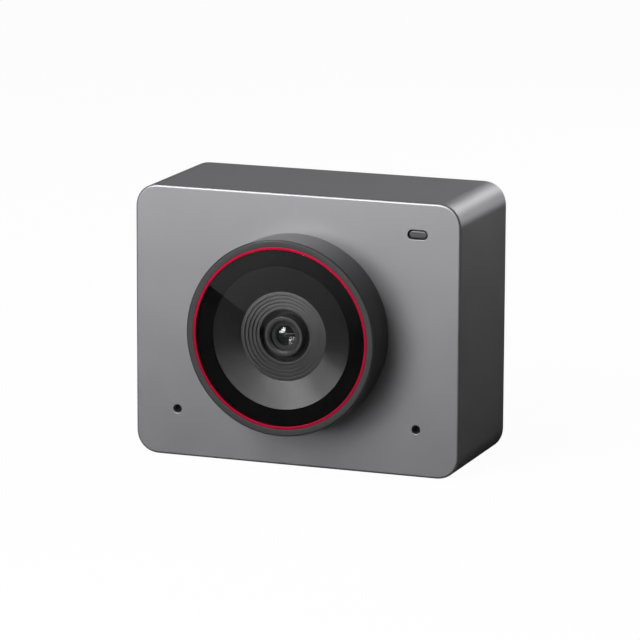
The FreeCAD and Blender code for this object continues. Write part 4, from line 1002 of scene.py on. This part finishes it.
def cover_lips():
    """Bars inside the side walls, between the corner posts."""
    y_range = (corners("rear_cover")[0].y, COVER_INNER_Y + POST_BITE)
    outer_x = BODY_WIDTH / 2 - WALL - COVER_LIP_GAP
    outer_z = BODY_HEIGHT / 2 - WALL - COVER_LIP_GAP
    reach_x = outer_x - POST_SIZE
    reach_z = outer_z - POST_SIZE
    centre = BODY_CENTRE.z
    forms = []
    for side in (-1, 1):
        x_range = sorted((side * outer_x, side * (outer_x - COVER_LIP_THICKNESS)))
        z_range = sorted((side * outer_z, side * (outer_z - COVER_LIP_THICKNESS)))
        forms.append(block(x_range, y_range, (centre - reach_z, centre + reach_z)))
        forms.append(block((-reach_x, reach_x), y_range, [centre + z for z in z_range]))
    return forms


def cover_openings():
    past_lips = COVER_INNER_Y - PAST
    first = middle("heat_sink").z - VENT_PITCH * (VENT_COUNT - 1) / 2
    side = flared(REAR_Y, past_lips, VENT_EDGE)
    forms = [stadium(VENT_LENGTH, VENT_HEIGHT, side, 0, first + VENT_PITCH * i) for i in range(VENT_COUNT)]
    forms.append(stadium_of("usb_shell", INLET_GAP, side))
    seat = flared(REAR_Y, REAR_Y - COUNTERBORE_DEPTH, TRIM_EDGE)
    forms += rods_at("cover_screws", COUNTERBORE_RADIUS, seat)
    forms += rods_at("cover_screws", SCREW_RADIUS + COVER_GAP, [(0, past_lips), (0, REAR_Y)])
    return forms


def tripod_insert():
    """A brass insert whose bore carries a real thread."""
    top = corners("tripod_insert")[1].z
    row_count = round(top / THREAD_PITCH * THREAD_ROWS_PER_TURN)
    rows = [insert_row(top * i / row_count) for i in range(row_count + 1)]
    rows += [insert_row(level, radius) for radius, level in insert_outline(0, 0)[-2:0:-1]]
    piece = made("tripod_thread", skinned(rows, closed=True))
    placed(piece, "insert_brass", ["tripod_insert"])


def insert_row(level, radius=None):
    """Points round the insert at a height, on its thread or at a radius."""
    row = []
    for i in range(INSERT_STEPS):
        turn = math.tau * i / INSERT_STEPS
        reach = radius or thread_radius(level, turn)
        row.append((reach * math.cos(turn), reach * math.sin(turn), level))
    return row


def thread_radius(level, turn):
    """The bore's radius at a height and turn: a V thread with flats, and a lead-in at the mouth."""
    phase = (level / THREAD_PITCH - turn / math.tau) % 1
    flank = min(max((1 - abs(2 * phase - 1) - THREAD_FLAT) / (1 - 2 * THREAD_FLAT), 0), 1)
    thread = THREAD_MINOR_RADIUS + (THREAD_MAJOR_RADIUS - THREAD_MINOR_RADIUS) * flank
    return max(thread, THREAD_MINOR_RADIUS + THREAD_LEAD_IN - level)


def indicator_piece():
    low, high = corners("indicator_window")
    stem = softened(low.y + INDICATOR_SINK, FACE_INNER_Y + TRIM_EDGE, INDICATOR_EDGE)
    piece = made("indicator_pill", indicator_form(0, stem))
    foot = [(0, FACE_INNER_Y), (0, high.y)]
    combined(piece, [indicator_form(INDICATOR_FLANGE, foot)], "UNION")
    placed(piece, "indicator_lens", ["indicator_window"])


# Bezel, window, baffle and lens nose

def bezel_ring():
    proud = FACE_Y - RIM_Y
    end = corners("lens_bezel")[1].y - RIM_Y
    ledge = ACCENT_RADIUS + ACCENT_GAP
    outline = behind_rim([
        (RIM_RADIUS - BEZEL_DRAFT, proud),
        (RIM_RADIUS, BEZEL_BEVEL, BEZEL_EDGE),
        (RIM_RADIUS - BEZEL_BEVEL, 0, BEZEL_EDGE),
        (ledge, 0, TRIM_EDGE),
        (ledge, BEZEL_LEDGE_DEPTH),
        (BEZEL_BORE_RADIUS, BEZEL_LEDGE_DEPTH),
        (BEZEL_BORE_RADIUS, BEZEL_THROAT_DEPTH),
        (BEZEL_THROAT_RADIUS, BEZEL_THROAT_DEPTH),
        (BEZEL_THROAT_RADIUS, end),
        (BEZEL_SPIGOT_RADIUS, end),
        (BEZEL_SPIGOT_RADIUS, proud),
    ])
    piece = made("bezel_ring", turned(rounded(outline)))
    side = [(0, FACE_Y - BEZEL_SCREW_DEPTH), (0, FACE_Y + PAST)]
    combined(piece, rods_at("bezel_screws", SMALL_SCREW_RADIUS, side))
    placed(piece, "bezel_paint", ["lens_bezel"])


def ring(name, outer, inner, front, back, edge, slot, node):
    """A flat ring about the lens axis, the edges of its front face rounded."""
    outline = [(inner, back), (outer, back), (outer, front, edge), (inner, front, edge)]
    piece = made(name, turned(rounded(outline)))
    placed(piece, slot, [node])


def accent_band():
    low, high = corners("accent_ring")
    inner = ACCENT_RADIUS - ACCENT_WIDTH
    ring("accent_band", ACCENT_RADIUS, inner, low.y, high.y, TRIM_EDGE, "accent_red", "accent_ring")


def mask_print():
    low, high = corners("glass_mask")
    front = low.y + MASK_GAP
    edge = (high.y - front) / 4
    ring("mask_print", GLASS_RADIUS, CONE_RADIUS, front, high.y, edge, "mask_ink", "glass_mask")


def window_disc():
    low, high = corners("cover_glass")
    side = softened(low.y, high.y, WINDOW_EDGE, WINDOW_EDGE)
    piece = made("window_disc", rod(GLASS_RADIUS, side, steps=RING_STEPS))
    placed(piece, "window_glass", ["cover_glass"])


def baffle_cone():
    """A cone whose floor carries rings. Each is a little crowned and ends in a riser on its inner side."""
    outer = half_width("light_baffle")
    ring_pitch = (RING_ZONE_RADIUS - BAFFLE_HOLE_RADIUS) / RING_COUNT
    depth_pitch = (BAFFLE_HOLE_DEPTH + RING_LIFT - RING_ZONE_DEPTH) / (RING_COUNT - 1)
    edge = RING_LIFT / 4
    outline = [(outer, CONE_DEPTH), (CONE_RADIUS, CONE_DEPTH)]
    for i in range(RING_COUNT):
        radius = RING_ZONE_RADIUS - i * ring_pitch
        depth = RING_ZONE_DEPTH + i * depth_pitch
        for step in range(RING_CROWN_STEPS):
            share = step / RING_CROWN_STEPS
            crown = RING_CROWN * 4 * share * (1 - share)
            outline.append((radius - share * ring_pitch, depth - share * RING_LIFT - crown))
        outline.append((radius - ring_pitch, depth - RING_LIFT, edge))
    back = BAFFLE_HOLE_DEPTH + BAFFLE_THICKNESS
    slope = (RING_ZONE_DEPTH - CONE_DEPTH) / (CONE_RADIUS - RING_ZONE_RADIUS)
    skirt = outer - BAFFLE_SKIRT
    outline[-1] = (BAFFLE_HOLE_RADIUS + BAFFLE_HOLE_BEVEL, BAFFLE_HOLE_DEPTH, edge)
    outline += [
        (BAFFLE_HOLE_RADIUS, BAFFLE_HOLE_DEPTH + BAFFLE_HOLE_BEVEL, edge),
        (BAFFLE_HOLE_RADIUS, back),
        (RING_ZONE_RADIUS, back),
        (skirt, back - slope * (skirt - RING_ZONE_RADIUS)),
        (skirt, BEZEL_THROAT_DEPTH),
        (outer, BEZEL_THROAT_DEPTH),
    ]
    piece = made("baffle_cone", turned(rounded(behind_rim(outline))))
    placed(piece, "baffle_black", ["light_baffle"])


def lens_nose():
    low, high = corners("lens_barrel")
    shoulder = corners("focus_carrier")[0].y
    lip = corners("rear_element")[1].y
    body = half_width("lens_barrel")
    bore = NOSE_RADIUS - NOSE_WALL
    outline = [
        (bore, low.y, TRIM_EDGE),
        (NOSE_RADIUS, low.y, NOSE_EDGE),
        (NOSE_RADIUS, shoulder),
        (body, shoulder),
        (body, high.y),
        (CLEAR_RADIUS, high.y),
        (CLEAR_RADIUS, lip),
        (bore, lip),
    ]
    piece = made("lens_nose", turned(rounded(outline)))
    placed(piece, "lens_black", ["lens_barrel"], "lens_carriage")


def retainer_ring():
    """A ring with a chamfered mouth and a sunk floor that steps down to its opening."""
    low, high = corners("lens_retainer")
    outer = half_width("lens_retainer")
    lip = outer - RETAINER_LIP
    mouth = lip - RETAINER_CHAMFER_WIDTH
    floor = low.y + RETAINER_FLOOR_DEPTH
    outline = [
        (outer, high.y),
        (outer, low.y),
        (lip, low.y, RETAINER_STEP_EDGE),
        (mouth, low.y + RETAINER_CHAMFER_DEPTH, RETAINER_STEP_EDGE),
        (mouth, floor),
    ]
    for i in range(RETAINER_STEP_COUNT + 1):
        radius = OPENING_RADIUS + (RETAINER_STEP_COUNT - i) * RETAINER_STEP
        level = floor + i * RETAINER_STEP
        outline.append((radius, level, RETAINER_STEP_EDGE))
        outline.append((radius, level + RETAINER_STEP))
    outline[-1] = (OPENING_RADIUS, high.y)
    piece = made("retainer_ring", turned(rounded(outline)))
    placed(piece, "lens_black", ["lens_retainer"], "lens_carriage")


def dome(bulge):
    """Points from the middle to the edge of a bulging glass face, as (radius, drop from the middle)."""
    sphere = (OPENING_RADIUS ** 2 + bulge ** 2) / (2 * bulge)
    radii = [OPENING_RADIUS * i / ELEMENT_STEPS for i in range(ELEMENT_STEPS + 1)]
    return [(radius, sphere - math.sqrt(sphere ** 2 - radius ** 2)) for radius in radii]


def front_lens():
    low, high = corners("front_element")
    outer = half_width("front_element")
    front = [(radius, low.y + drop) for radius, drop in dome(FRONT_DOME)]
    back = [(radius, high.y - drop) for radius, drop in dome(BACK_DOME)]
    edge = [(outer, front[-1][1]), (outer, back[-1][1])]
    piece = made("front_lens", turned(front + edge + back[::-1], steps=RING_STEPS // 2))
    placed(piece, "lens_glass", ["front_element"], "lens_carriage")


# Cable inlet and cover screws

def inlet_shell():
    low, high = corners("usb_shell")
    piece = made("inlet_shell", stadium_of("usb_shell", 0, softened(low.y, high.y, 0, INLET_EDGE)))
    inside = flared(high.y, low.y - PAST, INLET_EDGE)
    combined(piece, [stadium_of("usb_shell", -INLET_WALL, inside)])
    placed(piece, "inlet_steel", ["usb_shell"])


def inlet_tongue():
    low, high = corners("usb_tongue")
    side = softened(low.y, high.y, 0, TONGUE_EDGE)
    corner = TONGUE_THICKNESS / 4
    form = slab(TONGUE_WIDTH, TONGUE_THICKNESS, corner, side, 0, middle("usb_tongue").z)
    piece = made("inlet_tongue", form)
    foot = [(0, low.y), (0, low.y + TONGUE_FOOT_LENGTH)]
    combined(piece, [stadium_of("usb_tongue", 0, foot)], "UNION")
    placed(piece, "inlet_black", ["usb_tongue"])


def cover_screw_set():
    """Pan head screws with a cross recess, seated in the cover's counterbores."""
    seat = REAR_Y - COUNTERBORE_DEPTH
    top = seat + SCREW_HEAD_HEIGHT
    tip = seat - SCREW_LENGTH
    span = SCREW_DRIVE_SPAN
    half = SCREW_DRIVE_WIDTH / 2
    y_range = (top - SCREW_DRIVE_DEPTH, top + PAST)
    heads = rods_at("cover_screws", SCREW_HEAD_RADIUS, softened(seat, top, 0, SCREW_HEAD_EDGE))
    shank = softened(tip, seat + TRIM_EDGE, SCREW_HEAD_EDGE)
    drives = []
    for x, z in solid_centres("cover_screws"):
        drives.append(block((x - span, x + span), y_range, (z - half, z + half)))
        drives.append(block((x - half, x + half), y_range, (z - span, z + span)))
    piece = made("cover_screw_set", together(heads))
    combined(piece, drives)
    combined(piece, rods_at("cover_screws", SCREW_RADIUS, shank), "UNION")
    placed(piece, "screw_steel", ["cover_screws"])


# Leaf springs, whose arms run from the fixed frame to the lens carriage

def leaf_spring(node):
    low, high = corners(node)
    half = half_width(node)
    inner = half - SPRING_FRAME_WALL
    past = [(0, low.y - PAST), (0, high.y + PAST)]
    rim = block((-half, half), (low.y, high.y), (LENS_Z - half, LENS_Z + half))
    piece = made(f"{node}_frame", rim)
    combined(piece, [slab(2 * inner, 2 * inner, TRIM_EDGE, past, 0, LENS_Z)])
    placed(piece, "spring_bronze", [node])
    outline = [(SPRING_RING_INNER, low.y), (SPRING_RING_OUTER, low.y)]
    outline += [(SPRING_RING_OUTER, high.y), (SPRING_RING_INNER, high.y)]
    piece = made(f"{node}_ring", turned(outline, steps=SPRING_STEPS))
    placed(piece, "spring_bronze", [], "lens_carriage")
    for i in range(4):
        spring_arm(f"{node}_arm_{i}", inner * math.sqrt(2), low.y, high.y, math.radians(45 + 90 * i))


def spring_arm(name, end, low_y, high_y, turn):
    """One arm from the spring's ring to its frame, built in short lengths."""
    start = SPRING_RING_OUTER - SPRING_ARM_WIDTH
    half = SPRING_ARM_WIDTH / 2
    outward = Vector((math.cos(turn), 0, math.sin(turn)))
    across = Vector((-math.sin(turn), 0, math.cos(turn)))
    rows = []
    for i in range(SPRING_ARM_CUTS + 1):
        reach = outward * (start + (end - start) * i / SPRING_ARM_CUTS)
        section = ((-half, low_y), (half, low_y), (half, high_y), (-half, high_y))
        rows.append([Vector((0, y, LENS_Z)) + reach + across * offset for offset, y in section])
    arm = made(name, skinned(rows))
    shaded(arm, "spring_bronze")
    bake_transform(arm)


# The CAD nodes that stay: a finish for each, and rounded shading

def smoothing():
    """A modifier group that shades a node's coarse round faces as round and leaves its edges sharp."""
    graph = Graph(bpy.data.node_groups.new("smoothing", "GeometryNodeTree"))
    for direction in ("INPUT", "OUTPUT"):
        graph.tree.interface.new_socket("Geometry", in_out=direction, socket_type="NodeSocketGeometry")
    source = graph.output("NodeGroupInput")
    welded = graph.output("GeometryNodeMergeByDistance", {"Geometry": source, "Distance": NODE_WELD * MM})
    smooth = graph.output("GeometryNodeSetShadeSmooth", {0: welded})
    angle = graph.output("GeometryNodeInputMeshEdgeAngle", output="Unsigned Angle")
    inputs = {"A": angle, "B": math.radians(NODE_SHARP_ANGLE)}
    sharp = graph.output("FunctionNodeCompare", inputs, operation="GREATER_THAN")
    inputs = {0: smooth, "Selection": sharp, "Shade Smooth": False}
    edged = graph.output("GeometryNodeSetShadeSmooth", inputs, domain="EDGE")
    graph.node("NodeGroupOutput", {0: edged})
    return graph.tree


def dress_nodes():
    """Gives every CAD node its slot's finish and rounded shading."""
    group = smoothing()
    slots = {row["node"]: row["material_slot"] for row in frame["record"]["subparts"]}
    for name, node in frame["nodes"].items():
        node.data.materials.clear()
        node.data.materials.append(FINISHES[slots[name]])
        node.modifiers.new("smoothing", "NODES").node_group = group


# Camera and lights

def aimed(name, data, azimuth, elevation, distance, roll=0.0):
    """A camera or lamp turned to the body's middle, at azimuth 0 straight in front of the lens."""
    swing = Euler((-math.radians(elevation), 0, math.radians(azimuth)))
    outward = swing.to_matrix() @ Vector((0, -1, 0))
    item = added(name, data)
    item.location = (BODY_CENTRE + outward * distance) * MM
    item.rotation_mode = "QUATERNION"
    turn = Quaternion((0, 0, 1), math.radians(roll))
    item.rotation_quaternion = (-outward).to_track_quat("-Z", "Y") @ turn
    return item


def add_camera():
    data = bpy.data.cameras.new("camera")
    data.sensor_width = SENSOR_WIDTH
    data.lens = FOCAL_PIXELS / PICTURE_PIXELS * SENSOR_WIDTH
    data.clip_start = CAMERA_CLIP * MM
    camera = aimed("camera", data, CAMERA_AZIMUTH, CAMERA_ELEVATION, CAMERA_DISTANCE, CAMERA_ROLL)
    across = Vector((CAMERA_ACROSS, CAMERA_UP, 0)) * MM
    camera.location += camera.rotation_quaternion @ across
    bpy.context.scene.camera = camera


def add_softboxes():
    """The lamps. The front glass of the lens shows the key ones alone."""
    unlit = bpy.data.collections.new("unlit_by_the_others")
    unlit.objects.link(bpy.data.objects["front_lens"])
    unlit.collection_objects[0].light_linking.link_state = "EXCLUDE"
    for name, (azimuth, elevation, power, kind) in SOFTBOXES.items():
        distance, width, height = kind
        data = bpy.data.lights.new(name, "AREA")
        data.shape = "RECTANGLE"
        data.size = width * MM
        data.size_y = height * MM
        data.energy = power
        lamp = aimed(name, data, azimuth, elevation, distance)
        if kind != KEY_BOX:
            lamp.light_linking.receiver_collection = unlit


def add_world():
    world = bpy.data.worlds.new("studio")
    world.use_nodes = True
    world.node_tree.nodes["Background"].inputs["Color"].default_value = (*grey(WORLD_GREY), 1)
    bpy.context.scene.world = world


# Stage

def square(size):
    half = size / 2
    return [(-half, -half), (half, -half), (half, half), (-half, half)]


def stage_sheet(name, outline, level, material):
    """A flat stage piece: the floor, or a card that lies just over it."""
    points = [(x, y, level) for x, y in outline]
    piece = made(name, (points, [range(len(points))]))
    piece.data.materials.append(material)
    return piece


def add_card(name, outline, level, material):
    """A card that only reflections show, as a photographer lays one for a glossy object."""
    card = stage_sheet(name, outline, level, material)
    card.visible_camera = False
    card.visible_diffuse = False
    card.visible_shadow = False


def add_floor():
    """White to the camera, in mirrors and through glass, yet it keeps a soft shadow. Clear from below."""
    finish = Finish("floor_paper")
    finish.colour(finish.noise(30.0), grey(FLOOR_GREY), 0.01)
    finish.put("Roughness", 0.8)
    path = finish.node("ShaderNodeLightPath").outputs
    seen = finish.arithmetic("ADD", path["Is Camera Ray"], path["Is Glossy Ray"])
    seen = finish.arithmetic("ADD", seen, path["Is Transmission Ray"], clamped=True)
    share = finish.arithmetic("MULTIPLY", seen, FLOOR_WHITE)
    white = finish.output("ShaderNodeEmission")
    paper = finish.mixed(share, finish.shader.outputs[0], white)
    below = finish.output("ShaderNodeNewGeometry", output="Backfacing")
    finish.surface(finish.mixed(below, paper, finish.output("ShaderNodeBsdfTransparent")))
    stage_sheet("floor", square(FLOOR_SIZE), FLOOR_Z, finish.material)


def dark_card():
    """Matt black paper all round the object."""
    finish = Finish("dark_paper")
    finish.put("Roughness", 1.0)
    finish.put("Specular IOR Level", 0.0)
    finish.colour(finish.noise(20.0), grey(DARK_CARD_GREY), 0.1)
    add_card("dark_card", square(DARK_CARD_SIZE), DARK_CARD_Z, finish.material)


def window_card():
    """A card that glows though it is no lamp, so that the window shows a painted reflection of its
    straight edge. The glow fades along that edge and away from it.
    """
    near = Vector(CARD_EDGE_NEAR)
    along = (near - Vector(CARD_EDGE_FAR)).normalized()
    away = Vector((along.y, -along.x))
    start = near + along * CARD_PAST_NEAR
    end = start - along * CARD_LENGTH
    outline = [start, end, end + away * CARD_WIDTH, start + away * CARD_WIDTH]
    fade = (along / CARD_FADE_ALONG + away / CARD_FADE_AWAY) / MM
    finish = Finish("fading_paper")
    inputs = {0: finish.place, 1: (*fade, 0)}
    faded = finish.output("ShaderNodeVectorMath", inputs, "Value", operation="DOT_PRODUCT")
    glow = finish.arithmetic("SUBTRACT", fade.dot(near) * MM + CARD_NEAR_GLOW, faded, clamped=True)
    glow = finish.arithmetic("MINIMUM", glow, CARD_GLOW)
    # Painted reflection: the card glows with no lamp behind it, and only the window's reflection shows it
    finish.surface(finish.output("ShaderNodeEmission", {"Strength": glow}))
    add_card("window_card", outline, WINDOW_CARD_Z, finish.material)


housing_body()
cover_panel()
tripod_insert()
indicator_piece()
bezel_ring()
accent_band()
window_disc()
mask_print()
baffle_cone()
lens_nose()
retainer_ring()
front_lens()
inlet_shell()
inlet_tongue()
cover_screw_set()
leaf_spring("front_leaf_spring")
leaf_spring("rear_leaf_spring")
dress_nodes()
add_camera()
add_softboxes()
add_world()
add_floor()
dark_card()
window_card()

bpy.context.scene.view_settings.view_transform = "Standard"
